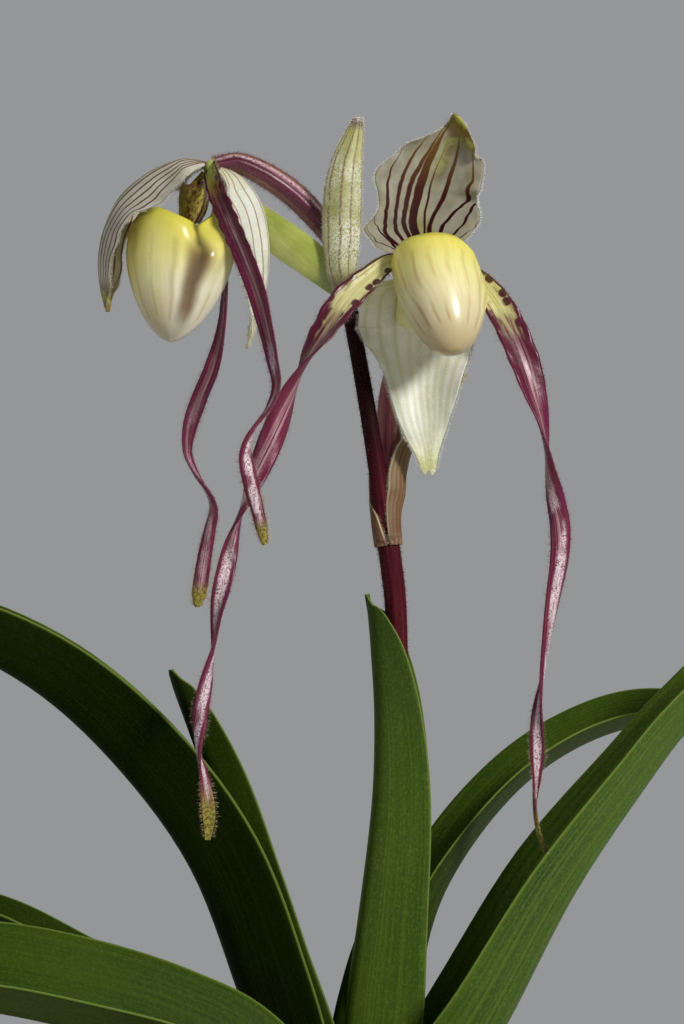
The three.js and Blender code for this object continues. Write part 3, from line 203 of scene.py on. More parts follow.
FLOWERS = {
    1: {
        "centre": (16, -2, 334.9),
        "ovary": [
            [5.6, 1.7, 276, 1.2], [5.8, 3.6, 283, 2.1], [5.7, 5.6, 293, 2.7], [6.2, 7.6, 305, 2.8],
            [9, 9.4, 316, 2.7], [13, 8.4, 325.5, 2.4], [15.6, 3.4, 332.4, 2.1], [16, 0, 334.4, 2.2],
        ],
        "dorsal": [
            [16, -2.2, 337, 2.8, 2.8, 0, 6], [15.4, -1.2, 339.6, 7.3, 6.4, 0, 10],
            [15, 0, 341.6, 12.1, 10.1, 0, 12], [14.6, 1.2, 344, 13.3, 13, 0, 14],
            [14.2, 2.2, 346.9, 14.8, 13.7, 0, 16], [13.9, 2.8, 350, 11.1, 13.2, 0, 17],
            [13.9, 3.2, 353, 11.1, 13.4, 0, 18], [14.4, 3.4, 356.4, 12.7, 13.1, 0, 20],
            [15.7, 3.2, 360.3, 9.6, 13.7, 0, 22], [17.7, 2.4, 364.6, 6.9, 13, 0, 24],
            [19.6, 0.6, 368.6, 1.9, 10.8, 0, 26], [21, -1.6, 370.8, 1, 8.2, 0, 26],
            [22, -3.6, 372.4, 1.1, 1.1, 0, 20],
        ],
        "synsepal": [
            [15.8, -1.8, 332.2, 3, 3, 0, 6], [15.2, -1.4, 330, 12, 13, 0, 12],
            [14.7, -1.2, 326.4, 13, 16.4, 0, 16], [14.9, -0.4, 322, 11.9, 17.4, 0, 20],
            [14.5, 0.2, 317.2, 11.5, 15.6, 0, 22], [14.2, -0.2, 311.4, 10.4, 11.1, 0, 26],
            [14.4, -1.4, 304.6, 8.2, 8.7, 0, 26], [15, -2.6, 297.6, 4.8, 6.4, 0, 24],
            [15.6, -3.6, 291.6, 2, 3.8, 0, 20], [15.1, -4, 286.4, 1.7, 1.7, 0, 14],
        ],
        "near": ("toward", TO_VIEWER),
        "wave": 1.1,
        "petals": {
            "left": [
                [11.6, -3.6, 336, 1.8, 0], [6.2, -7, 337.2, 2.1, 5], [0.7, -12, 332.9, 2.9, 10],
                [-4.8, -16, 327.2, 3.7, 20], [-9.7, -20, 319.5, 3.7, 42], [-13.9, -22, 312.4, 3.5, 80],
                [-17.9, -24, 303.9, 3.3, 128], [-22, -26, 294.5, 3, 175], [-26.5, -27, 284.7, 2.9, 226],
                [-29, -28, 278.2, 2.7, 262], [-31.3, -29, 271.7, 2.5, 300], [-32.6, -30, 264.2, 2.2, 345],
                [-34, -30, 255.9, 2.1, 400], [-35, -30, 246.8, 2, 444], [-36.6, -30, 238.7, 1.9, 495],
                [-38.4, -30, 231.3, 1.8, 545], [-39.1, -30, 223.6, 1.7, 610], [-37.7, -30, 215.5, 1.6, 668],
                [-36.4, -30, 207.4, 1.5, 718], [-36.6, -30, 201.6, 0.6, 730],
            ],
            "right": [
                [20.4, -3.4, 336, 1.8, 0], [26, -5, 334, 2.2, 0], [30.4, -8, 328.6, 3.4, -6],
                [34.1, -10, 322.1, 3.7, -10], [37.4, -12, 313.7, 3.8, -18], [39.7, -13, 305.4, 3.5, -38],
                [41.5, -14, 298.3, 3, -65], [42.7, -14, 291.9, 2.7, -90], [43.4, -14, 286.4, 2.6, -116],
                [44.6, -14, 281, 2.5, -145], [46, -14, 274.2, 2.4, -172], [46, -14, 266.4, 2.3, -196],
                [44.6, -14, 256.9, 2.1, -218], [43.2, -14, 247.5, 1.9, -240], [41.8, -14, 237.3, 1.8, -268],
                [40.9, -13, 229, 1.7, -318], [40.7, -12, 221.3, 1.7, -362], [40.3, -11, 214.2, 1.5, -412],
                [40.1, -10, 208.2, 1.4, -445], [40.8, -9, 202.6, 1.2, -455], [42.8, -8, 196.6, 0.5, -460],
            ],
        },
        "pouch": {
            "toe": (21.4, -23.4, 314.3), "up": (-0.16, 0.57, 0.76), "front": (-0.16, -1, 0), "tilt": -0.06,
            "lobes": (0.08, 0.42),
            "rim": [(0, 0.93), (50, 0.96), (108, 0.93), (150, 0.98), (180, 1.03)],
        },
        "column": [[16, -2.4, 336.4, 2], [16.2, -4, 339, 2], [16.4, -6.6, 340.8, 1.8]],
        "stigma": [
            [16, -3.4, 338, 1.4], [16.4, -6.4, 336.4, 1.5], [16.8, -8.6, 333, 1.5], [17, -9.4, 330.6, 0.9],
        ],
        "shield": {"centre": (16.5, -8.2, 338.6), "face": [0.1, -0.9, 0.4], "up": [0, 0.4, 0.9]},
    },
    2: {
        "centre": (-36.4, 0, 360.2),
        "ovary": [
            [-4.6, 2.4, 332.4, 1.5], [-7.4, 4.6, 342.4, 2.2], [-12.4, 4.8, 349.6, 2.9], [-18, 4.4, 355, 3],
            [-24.4, 3, 359.2, 2.9], [-30.4, 1.4, 361.6, 2.5], [-34.6, 0.3, 361, 2.2],
            [-36.2, 0, 360.6, 2.2],
        ],
        "dorsal": [
            [-38.2, 0, 361.4, 3.4, 3.4, 0, 34], [-44, 0, 362, 7.8, 12.5, 5, 40],
            [-51.6, 0, 359, 11.6, 13.4, -2, 40], [-58.4, 0, 353.4, 12.6, 12, -3, 38],
            [-62, 0, 346, 8.8, 11.8, 10, 38], [-63.4, 0, 338.6, 6.8, 10.4, 14, 40],
            [-63, 0, 331.6, 5.8, 8.4, 12, 40], [-61.6, 0, 325.8, 1.1, 1.1, 12, 30],
        ],
        "synsepal": [
            [-34.6, 0.4, 360.4, 4.4, 4.4, 0, 36], [-29.6, 0.6, 357.8, 9.6, 9.6, 0, 42],
            [-25.4, 0.8, 352.2, 12.4, 12.4, 0, 44], [-23.6, 1, 345, 13, 13, 0, 48],
            [-23.4, 1, 336.8, 11, 11, 0, 48], [-24.6, 1, 328.6, 7.4, 7.4, 0, 44],
            [-26.6, 1, 321.4, 3.8, 3.8, 0, 36], [-28.4, 1, 317, 1.2, 1.2, 0, 24],
        ],
        "near": ("point", (-44, 0, 334)),
        "wave": 0.5,
        "petals": {
            "near": [
                [-37, -3.6, 360, 2.2, 40], [-35.4, -9, 354.9, 2.5, 35], [-32.9, -14, 348.6, 2.6, 30],
                [-29.9, -19, 341.6, 2.6, 30], [-27, -24, 334.5, 2.6, 32], [-24.6, -28, 327.5, 2.5, 34],
                [-22.6, -32, 319.8, 2.3, 46], [-21.2, -35, 313.2, 2.1, 52], [-20.2, -37, 306.9, 1.9, 62],
                [-22.1, -38, 301.4, 1.8, 78], [-25.3, -38, 297.2, 1.7, 92], [-27.1, -38, 293.1, 1.7, 120],
                [-27.3, -38, 289.2, 1.8, 150], [-26.4, -38, 283.9, 1.7, 172], [-25, -38, 278.2, 1.5, 190],
                [-24.1, -38, 273.6, 1.3, 200], [-23.4, -38, 270.1, 0.5, 205],
            ],
            "far": [
                [-36.6, 3.6, 360, 1.8, 40], [-35.3, 8, 355.7, 2.1, 50], [-34.4, 12, 347.5, 2.4, 60],
                [-33.8, 15, 338.7, 2.4, 70], [-33.9, 17, 329.5, 2.3, 75], [-34.9, 18, 321, 2.2, 60],
                [-37.1, 18, 313, 2.1, 30], [-40.5, 18, 305.1, 2, 10], [-43, 18, 298.3, 1.9, -30],
                [-43.7, 18, 292.4, 1.8, -60], [-41.5, 18, 287, 1.7, -78], [-38.5, 18, 282.4, 1.6, -100],
                [-37.3, 18, 278.2, 1.6, -125], [-38.1, 18, 273.3, 1.6, -150], [-39, 18, 267.9, 1.7, -170],
                [-39.8, 18, 262.5, 1.8, -180], [-40.5, 18, 257.6, 1.7, -185], [-41, 18, 254.4, 0.6, -190],
            ],
        },
        "pouch": {
            "toe": (-45.1, -1, 318.3), "up": (0.06, 0.06, 1), "front": (-1, -0.12, 0), "tilt": 0,
            "lobes": (0.2, 0.2),
            "rim": [(0, 0.96), (50, 1.02), (108, 0.89), (150, 1.02), (162, 1.07), (180, 1.27)],
        },
        "column": [[-37.6, 0, 358.2, 2], [-40, 0, 355.6, 2], [-42, -0.4, 353.6, 1.8]],
        "stigma": [
            [-38, 0, 358, 1.4], [-38.6, 0.2, 354.4, 1.5], [-39.4, 0.4, 350.4, 1.5], [-40.6, 0.6, 347.2, 0.9],
        ],
        "shield": {"centre": (-42.2, -1.2, 351.2), "face": [-0.62, -0.78, 0.1], "up": [0.1, 0, 1]},
    },
}

# Numbers and curves


def mix(a, b, t):
    return a + (b - a) * t


def unit(vectors):
    return vectors / np.linalg.norm(vectors, axis=-1, keepdims=True)


def dot(a, b):
    return np.sum(a * b, axis=-1, keepdims=True)


def smooth(x):
    x = np.clip(x, 0, 1)
    return x * x * (3 - 2 * x)


def bump(x, middle, half):
    """1 at the middle, falling smoothly to 0 at half a width on either side."""
    return smooth(1 - np.abs(x - middle) / half)


def along(rows, t):
    """Catmull-Rom through rows of numbers, with t running from 0 to 1 along all of them."""
    rows = np.asarray(rows, float)
    last = len(rows) - 1
    place = np.clip(t, 0, 1) * last
    i = np.minimum(np.floor(place).astype(int), last - 1)
    f = (place - i)[..., None]
    a, b, d, e = (rows[np.clip(i + k, 0, last)] for k in (-1, 0, 1, 2))
    bend = (2 * a - 5 * b + 4 * d - e) * f + (3 * b - a - 3 * d + e) * f * f
    return b + 0.5 * f * (d - a + bend)


def draws(seed):
    """A steady stream of draws between 0 and 1, the same one each time."""
    state = seed
    while True:
        state = (state * 16807) % 2147483647
        yield state / 2147483647


def ripple(points, scale, seed=0.0):
    """Smooth noise between -1 and 1 at points in millimetres, with features of about `scale`."""
    flat = points.reshape(-1, 3) / scale + seed
    return np.array([noise.noise(Vector(p)) for p in flat]).reshape(points.shape[:-1])


def turns(count):
    """Angles of `count` even steps round a circle."""
    return np.arange(count) / count * 2 * np.pi


def stacked(*parts):
    """Points or places from their three coordinates, which may differ in shape."""
    return np.stack(np.broadcast_arrays(*parts), -1)


def grid_quads(steps, n):
    """Faces between closed rings of n points."""
    i, j = np.meshgrid(np.arange(steps), np.arange(n), indexing="ij")
    a, b = (i * n + j).ravel(), (i * n + (j + 1) % n).ravel()
    return np.stack([a, b, b + n, a + n], -1)


# Surfaces: a frame along a route, sheets swept along it and tubes round it


def frame_at(rows, t, facing, roll=0.0):
    """Row, point, direction, normal and side at t; `facing` says what the normal is turned to."""
    row = along(rows, t)
    point = row[..., :3]
    step = 0.002
    ahead = along(rows, np.minimum(1, t + step))[..., :3]
    behind = along(rows, np.maximum(0, t - step))[..., :3]
    direction = unit(ahead - behind)
    kind, vector = facing
    vector = np.asarray(vector, float)
    if kind == "side":
        toward = np.cross(vector, direction)
    elif kind == "point":
        toward = vector - point
    else:
        toward = np.broadcast_to(vector, direction.shape)
    normal = unit(toward - direction * dot(toward, direction))
    angle = np.radians(roll)[..., None]
    normal = normal * np.cos(angle) + np.cross(direction, normal) * np.sin(angle)
    return row, point, direction, normal, np.cross(direction, normal)


class Sheet:
    """A thin sheet. Rows are [x, y, z, left width, right width, roll, fold]."""

    def __init__(self, rows, facing, kind, wave=None, notch=0.0, keel=None):
        self.rows, self.facing, self.kind, self.wave, self.notch = rows, facing, kind, wave, notch
        self.keel = keel or (lambda t, fold: kind["keel"])

    def at(self, t, u):
        """Middle points, outward directions and directions to the margin, u from -1 to 1 across."""
        shift = self.notch * np.abs(1 - 2 * np.abs(u)) * smooth((t - 0.8) / 0.2)
        roll = along(self.rows, t)[..., 5]
        row, point, _, normal, side = frame_at(self.rows, t - shift, self.facing, roll)
        width = np.maximum(0.35, np.where(u < 0, row[..., 3], row[..., 4]))
        fold = np.radians(np.maximum(0.5, row[..., 6]))
        keel = self.keel(t, fold)
        arc = np.abs(u) * width
        turn = fold * np.minimum(arc, keel) / keel
        spare = np.maximum(0, arc - keel)
        out = keel / fold * np.sin(turn) + spare * np.cos(fold)
        lift = keel / fold * (1 - np.cos(turn)) + spare * np.sin(fold)
        if self.wave:
            lift = lift + self.wave(u, t)
        toward = side * np.sign(u)[..., None]
        middle = point + toward * out[..., None] + normal * lift[..., None]
        turn = turn[..., None]
        outward = normal * np.cos(turn) - toward * np.sin(turn)
        return middle, outward, toward * np.cos(turn) + normal * np.sin(turn)

    def thickness(self, u):
        return mix(self.kind["half"], self.kind["edge"], np.abs(u) ** 3)[..., None]


class Tube:
    """A round or ridged tube. Rows are [x, y, z, radius]."""

    def __init__(self, rows, ridge=0.0, ridges=3, flat=1.0, relief=None):
        self.rows, self.ridge, self.ridges, self.flat = rows, ridge, ridges, flat
        self.relief = relief

    def at(self, t, angle):
        row, point, direction, normal, side = frame_at(self.rows, t, ("toward", TO_VIEWER))
        radius = row[..., 3] * (1 + self.ridge * np.cos(self.ridges * angle))
        if self.relief:
            radius = radius + self.relief(angle, t)
        ahead, aside = np.cos(angle)[..., None], np.sin(angle)[..., None]
        outward = unit(normal * ahead / self.flat + side * aside)
        radius = radius[..., None]
        return point + normal * self.flat * radius * ahead + side * radius * aside, outward, direction


# Meshes: a shape gathers points, faces and the place of each point on its surface


class Shape:
    def __init__(self):
        self.points, self.faces, self.places, self.slots = [], [], [], []
        self.count = 0

    def add(self, points, faces, places, slot=0):
        points = np.asarray(points, float).reshape(-1, 3)
        self.points.append(points)
        self.places.append(np.asarray(places, float).reshape(-1, 3))
        for group in faces:
            self.faces.extend((group + self.count).tolist())
            self.slots.extend([slot] * len(group))
        self.count += len(points)

    def add_sheet(self, sheet, steps, across, ease=0.0):
        even = np.linspace(0, 1, steps + 1)
        t = mix(even, (1 - np.cos(np.pi * even)) / 2, ease)
        t, u = np.meshgrid(t, np.linspace(-1, 1, across + 1), indexing="ij")
        middle, outward, _ = sheet.at(t, u)
        half = outward * sheet.thickness(u)
        front, back = (stacked(u, t, face) for face in (1.0, -1.0))
        n = 2 * (across + 1)
        k = np.arange(across)
        start = np.stack([k + 1, k, n - 1 - k, n - 2 - k], -1)
        self.add(
            np.concatenate([middle + half, (middle - half)[:, ::-1]], 1),
            [grid_quads(steps, n), start, start[:, ::-1] + steps * n],
            np.concatenate([front, back[:, ::-1]], 1))

    def add_tube(self, tube, steps, around):
        t, angle = np.meshgrid(np.linspace(0, 1, steps + 1), turns(around), indexing="ij")
        self.add_rings(tube.at(t, angle)[0], stacked(np.cos(angle), t, np.sin(angle)))

    def add_rings(self, rings, places):
        """A closed skin over rings of points, with a fan over each end."""
        steps, n = rings.shape[0] - 1, rings.shape[1]
        points, places = (
            np.concatenate([part.reshape(-1, 3), part[:1].mean(1), part[-1:].mean(1)])
            for part in (rings, places))
        first, last = len(points) - 2, len(points) - 1
        j = np.arange(n)
        start = np.stack([np.full(n, first), (j + 1) % n, j], -1)
        end = np.stack([np.full(n, last), steps * n + j, steps * n + (j + 1) % n], -1)
        self.add(points, [grid_quads(steps, n), start, end], places)

    def add_hairs(self, roots, directions, length, spread, radius, places):
        """Thin curved three-sided spikes, each rooted just under the surface."""
        count = len(roots)
        lengths = length * HAIR_DRAW.uniform(*spread, count)[:, None]
        directions = unit(directions)
        aside = unit(np.cross(directions, HAIR_DRAW.normal(size=(count, 3))))
        other = np.cross(directions, aside)
        sag = aside * HAIR_DRAW.uniform(-1, 1, (count, 1)) + np.array([0, 0, -HAIR["droop"]])
        bend = sag * lengths * HAIR["bend"]
        rings = []
        for share, thick in ((-0.06, 1.0), (0.5, 0.7)):
            centre = roots + directions * lengths * share + bend * max(share, 0) ** 2
            for turn in turns(3):
                rings.append(centre + radius * thick * (aside * np.cos(turn) + other * np.sin(turn)))
        rings.append(roots + directions * lengths + bend)
        k = np.arange(count)[:, None] * 7
        sides = [k + np.array([i, (i + 1) % 3, 3 + (i + 1) % 3, 3 + i]) for i in range(3)]
        tips = [k + np.array([3 + i, 3 + (i + 1) % 3, 6]) for i in range(3)] + [k + np.array([2, 1, 0])]
        marks = np.repeat(places[:, None], 7, 1)
        marks[..., 2] = [0, 0, 0, 0.5, 0.5, 0.5, 1]
        self.add(np.stack(rings, 1), [np.concatenate(sides), np.concatenate(tips)], marks, 1)

    def piece(self, name, slot, *materials):
        """The finished piece, which takes the place of the node `name`."""
        mesh = bpy.data.meshes.new(f"{name}_fine")
        points = np.concatenate(self.points) * MM
        mesh.from_pydata(points.tolist(), [], self.faces)
        mesh.attributes.new("place", "FLOAT_VECTOR", "POINT")
        mesh.attributes["place"].data.foreach_set("vector", np.concatenate(self.places).ravel())
        for material in materials:
            mesh.materials.append(material)
        mesh.polygons.foreach_set("material_index", self.slots)
        mesh.polygons.foreach_set("use_smooth", [True] * len(self.faces))
        mesh.update()
        piece = bpy.data.objects.new(f"{name}_fine", mesh)
        bpy.context.scene.collection.objects.link(piece)
        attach(piece, "root")
        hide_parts(name)
        return piece


# Hairs on sheets and tubes


def scattered(values, spread):
    return values + HAIR_DRAW.normal(0, spread, values.shape)


def margin_hairs(shape, sheet, count, length, radius):
    """Hairs that fringe both margins of a sheet."""
    for hand in (-1.0, 1.0):
        t, u = HAIR_DRAW.uniform(*HAIR["span"], count), np.full(count, hand)
        middle, outward, margin = sheet.at(t, u)
        direction = scattered(margin + outward * HAIR_DRAW.normal(0, 0.4, (count, 1)), 0.25)
        shape.add_hairs(middle, direction, length, (0.55, 1.2), radius, stacked(u, t, u))


def face_hairs(shape, sheet, count, length, radius, face):
    """Hairs on one face of a sheet: 1 for its front, -1 for its back."""
    t, u = HAIR_DRAW.uniform(*HAIR["span"], count), HAIR_DRAW.uniform(-0.98, 0.98, count)
    middle, outward, _ = sheet.at(t, u)
    roots = middle + outward * face * sheet.thickness(u)
    direction = scattered(outward * face, 0.45)
    shape.add_hairs(roots, direction, length, (0.5, 1.2), radius, stacked(u, t, u))


def hairy_sheet(sheet, kind, faces=(-1,), ease=0.0):
    """A shape with one sheet, a fringe of hairs and hairs on the faces named."""
    shape = Shape()
    shape.add_sheet(sheet, *STEPS[kind], ease)
    margin_hairs(shape, sheet, *FUR[f"{kind}_margin"])
    for face in faces:
        face_hairs(shape, sheet, *FUR[kind], face)
    return shape


def tube_hairs(shape, tube, count, length, radius, span=(0.0, 1.0), lift=0.3):
    """Hairs all round a tube, leaning a little towards its end."""
    t, angle = HAIR_DRAW.uniform(*span, count), HAIR_DRAW.uniform(0, 2 * np.pi, count)
    points, outward, direction = tube.at(t, angle)
    direction = scattered(outward + direction * lift, 0.35)
    marks = stacked(np.cos(angle), t, np.sin(angle))
    shape.add_hairs(points, direction, length, (0.5, 1.25), radius, marks)


# Materials


class Value:
    """What a node gives out. The signs + - * and the methods here add a math node behind it."""

    def __init__(self, nodes, socket):
        self.nodes, self.socket = nodes, socket

    def math(self, operation, *others):
        return self.nodes.value("Math", self, *others, operation=operation)

    def __add__(self, other):
        return self.math("ADD", other)

    def __sub__(self, other):
        return self.math("SUBTRACT", other)

    def __mul__(self, other):
        return self.math("MULTIPLY", other)

    def __abs__(self):
        return self.math("ABSOLUTE")

    def top(self, other):
        return self.math("MAXIMUM", other)

    def step(self, low, high):
        """0 at low, 1 at high, smooth between them; low may be the larger."""
        return self.nodes.value("MapRange", self, low, high, interpolation_type="SMOOTHSTEP")

    def span(self, low, high):
        """A value from 0 to 1 turned into one from low to high."""
        return self.math("MULTIPLY_ADD", high - low, low)


class Nodes:
    """A node tree, emptied, with short ways to add nodes to it."""

    def __init__(self, owner):
        owner.use_nodes = True
        self.tree = owner.node_tree
        self.tree.nodes.clear()

    def node(self, kind, *inputs, **settings):
        made = self.tree.nodes.new(f"ShaderNode{kind}")
        for key, value in settings.items():
            setattr(made, key, value)
        for socket, value in zip(made.inputs, inputs):
            self.feed(socket, value)
        return made

    def feed(self, socket, value):
        if isinstance(value, Value):
            self.tree.links.new(value.socket, socket)
        elif value is not None:
            rgb = socket.type == "RGBA" and len(value) == 3
            socket.default_value = (*value, 1) if rgb else value

    def value(self, kind, *inputs, **settings):
        return Value(self, self.node(kind, *inputs, **settings).outputs[0])


class Paint(Nodes):
    """A material under construction: a colour that further colours are laid over."""

    def __init__(self, name, roughness=0.5, coat=0.0, coat_roughness=0.2, specular=0.5, sheen=0.0, glow=0.0):
        self.material = bpy.data.materials.new(name)
        super().__init__(self.material)
        self.shader = self.node("BsdfPrincipled")
        self.node("OutputMaterial", Value(self, self.shader.outputs[0]))
        constants = {
            "Roughness": roughness, "Coat Weight": coat, "Coat Roughness": coat_roughness,
            "Specular IOR Level": specular, "Sheen Weight": sheen, "Subsurface Weight": glow,
            "Subsurface Scale": 0.0015, "Subsurface Radius": (1.0, 0.7, 0.4),
        }
        for socket, value in constants.items():
            self.shader.inputs[socket].default_value = value
        place = Value(self, self.node("Attribute", attribute_name="place").outputs["Vector"])
        self.u, self.t, self.face = (Value(self, part) for part in self.node("SeparateXYZ", place).outputs)
        self.spot = Value(self, self.node("TexCoord").outputs["Object"])

    def blend(self, factor, a, b, kind="MIX"):
        made = self.node("Mix", data_type="RGBA", blend_type=kind)
        for k, value in ((0, factor), (6, a), (7, b)):
            self.feed(made.inputs[k], value)
        return Value(self, made.outputs[2])

    def lay(self, mask, colour, kind="MIX"):
        """Lays a colour over the present one, as far as the mask goes."""
        self.colour = self.blend(mask, self.colour, colour, kind)

    def ramp(self, value, *stops, curve="LINEAR"):
        """Colours or numbers at places from 0 to 1."""
        made = self.node("ValToRGB", value)
        line = made.color_ramp
        line.interpolation = curve
        while len(line.elements) < len(stops):
            line.elements.new(0.5)
        for element, (place, colour) in zip(line.elements, stops):
            element.position = place
            element.color = (*colour, 1) if isinstance(colour, tuple) else (colour,) * 3 + (1,)
        return Value(self, made.outputs[0])

    def mottled(self, value, dark, light):
        return self.ramp(value, (0.3, dark), (0.7, light))

    def noise(self, scale, detail=2.0, vector=None, rough=0.5):
        made = self.node("TexNoise", vector or self.spot)
        for socket, value in (("Scale", scale), ("Detail", detail), ("Roughness", rough)):
            made.inputs[socket].default_value = value
        return Value(self, made.outputs[0])

    def cells(self, scale, vector=None):
        made = self.node("TexVoronoi", vector or self.spot)
        made.inputs["Scale"].default_value = scale
        return Value(self, made.outputs["Distance"])

    def grid(self, across, lengthwise, hoop=1):
        """Noise coordinates that follow the piece: so many units across and along it."""
        return self.value("CombineXYZ", self.u * across, self.t * lengthwise, self.face * hoop)

    def grain(self, across, lengthwise, detail=2, hoop=1):
        return self.noise(1, detail, self.grid(across, lengthwise, hoop))

    def turn(self):
        """The angle round a tube or a cup, from -pi to pi."""
        return self.face.math("ARCTAN2", self.u)

    def lines(self, across, places, half, soft, start, end):
        """Soft lengthwise lines at these places across, between two shares of the length."""
        mask = 0.0
        for place in places:
            mask = abs(across - place).step(half + soft, half - soft).top(mask)
        return mask * self.t.step(start - 0.03, start + 0.03) * self.t.step(end + 0.06, end - 0.06)

    def arc(self, rows):
        """Millimetres from the midline of a sheet with these rows."""
        left, right = (
            self.ramp(self.t, *((k / (len(rows) - 1), row[side] / 20) for k, row in enumerate(rows)))
            for side in (3, 4))
        width = left + (right - left) * self.u.math("GREATER_THAN", 0)
        return self.u * width * 20

    def stripes(self, arc, rows, soft):
        """Stripes through points (share of the length, mm from the midline), rows of (half width, points)."""
        mask = 0.0
        for half, points in rows:
            path = self.ramp(self.t, *((t, mm / 40 + 0.5) for t, mm in points), curve="CARDINAL")
            end = points[-1][0]
            width = self.t.step(end + 0.04, end - 0.3) * half
            line = abs(arc - path.span(-20, 20)).step(width + soft, width - soft)
            mask = (line * self.t.step(end + 0.04, end - 0.04)).top(mask)
        return mask

    def finish(self, height=None, strength=0.3, distance=0.0002):
        """The material, its colour fed to the shader, with bumps where a height is given."""
        self.feed(self.shader.inputs["Base Color"], self.colour)
        if height:
            made = self.node("Bump")
            made.inputs["Strength"].default_value = strength
            made.inputs["Distance"].default_value = distance
            self.feed(made.inputs["Height"], height)
            self.feed(self.shader.inputs["Normal"], Value(self, made.outputs[0]))
        return self.material


# What each surface looks like

# How bright each leaf's green is painted low down and towards its tip, as painted light and shade that
# lightens the lit leaves and darkens the shaded ones, and how much it shines
LEAF_PAINTED_LIGHTING = {
    "leaf_centre": (1.45, 0.95, 0.16), "leaf_right": (1.6, 1.3, 0.16), "leaf_right_back": (0.85, 0.8, 0.06),
    "leaf_left": (0.2, 0.42, 0.02), "leaf_left_back": (0.62, 0.75, 0.05), "leaf_front_left": (0.8, 0.8, 0.04),
}
# Leaves not listed above are darkened by the same painted shade
HIDDEN_LEAF_PAINTED_LIGHTING = (0.5, 0.5, 0.02)


def clay_paint():
    paint = Paint("clay", roughness=0.85)
    broad, fine = paint.noise(14, 4), paint.noise(160, 3)
    paint.colour = paint.mottled(broad, (0.42, 0.17, 0.085), (0.56, 0.25, 0.13))
    paint.lay((broad + fine * 0.35).step(0.68, 0.86) * 0.5, (0.74, 0.62, 0.52))
    paint.lay(paint.cells(420).step(0.16, 0.06) * 0.4, (0.28, 0.11, 0.06))
    return paint.finish(paint.noise(420, 4) + fine, 0.4, 0.0003)


def bark_paint():
    paint = Paint("bark", roughness=0.92)
    grain = paint.noise(240, 5, rough=0.65)
    shade = paint.t * 0.6 + grain * 0.7
    paint.colour = paint.ramp(
        shade, (0.25, (0.045, 0.022, 0.012)), (0.6, (0.14, 0.07, 0.035)), (0.95, (0.3, 0.16, 0.08)))
    return paint.finish(grain, 0.8, 0.0006)


def root_paint():
    paint = Paint("root", roughness=0.9)
    paint.colour = paint.mottled(paint.noise(300, 4), (0.16, 0.1, 0.06), (0.42, 0.33, 0.22))
    return paint.finish(paint.noise(900, 3), 0.5)


def leaf_paint(name, low, high, specular):
    """Green with fine lengthwise veins, a paler keel that is partly painted light, thin margins paled as a
    painted rim highlight, and painted light and shade that scales it from low to high.
    """
    paint = Paint(name, roughness=0.52, specular=specular)
    far = abs(paint.u)
    veins, fine = paint.grain(34, 1.6), paint.grain(90, 5)
    grain = paint.noise(1500)
    paint.colour = paint.mottled(paint.noise(22, 3), (0.016, 0.038, 0.003), (0.044, 0.085, 0.006))
    paint.lay((veins * 0.6 + fine * 0.4).step(0.4, 0.68) * 0.7, (0.07, 0.125, 0.01))
    paint.lay(grain.step(0.45, 0.75) * 0.35, (0.11, 0.18, 0.02))
    # Paler keel on the back face: partly the midrib's own colour, partly painted light on its rounding
    paint.lay(far.step(0.12, 0.0) * paint.face.step(0.5, -0.5) * 0.55, (0.13, 0.22, 0.04))
    scratch = paint.noise(600).step(0.6, 0.7) * paint.cells(70).step(0.05, 0.02)
    paint.lay(scratch, (0.55, 0.6, 0.4))
    # Painted light and shade: each leaf's green scaled from low to high along its length
    paint.lay(1.0, paint.t.step(0.2, 0.9).span(low, high), "MULTIPLY")
    # Painted rim highlight: a thin pale line along each margin where light catches the edge
    paint.lay(far.step(0.97, 0.998) * 0.7, (0.18, 0.26, 0.05))
    return paint.finish(fine * 0.7 + grain * 0.5, 0.25)


def scape_paint():
    """Dark red with lengthwise streaks, redder at its foot and darkened nearly to black from the bract up as
    painted shade.
    """
    paint = Paint("scape", roughness=0.6, specular=0.08)
    streaks = paint.grain(7, 6, hoop=7)
    paint.colour = paint.ramp(
        streaks, (0.3, (0.03, 0.003, 0.005)), (0.6, (0.09, 0.008, 0.015)), (0.8, (0.18, 0.03, 0.035)))
    paint.lay(paint.t.step(0.5, 0.0) * 0.5, (0.2, 0.03, 0.03))
    # Painted shade: the stem above the bract darkened almost to black
    paint.lay(paint.t.step(0.64, 0.76) * 0.88, (0.008, 0.001, 0.001))
    return paint.finish(paint.grain(3, 60, 3, hoop=3) + streaks, 0.3)


def hair_paint(name, root, tip):
    paint = Paint(name)
    paint.colour = paint.blend(paint.face, root, tip)
    return paint.finish()


def petal_hair_paint():
    """Maroon hairs that pale with the petal's tip."""
    paint = Paint("petal_hair")
    paint.colour = paint.ramp(
        paint.t, (0.0, (0.5, 0.42, 0.2)), (0.2, (0.2, 0.03, 0.06)), (0.75, (0.3, 0.06, 0.1)),
        (0.9, (0.5, 0.36, 0.12)))
    paint.lay(paint.face * 0.6, (0.85, 0.72, 0.68))
    return paint.finish()


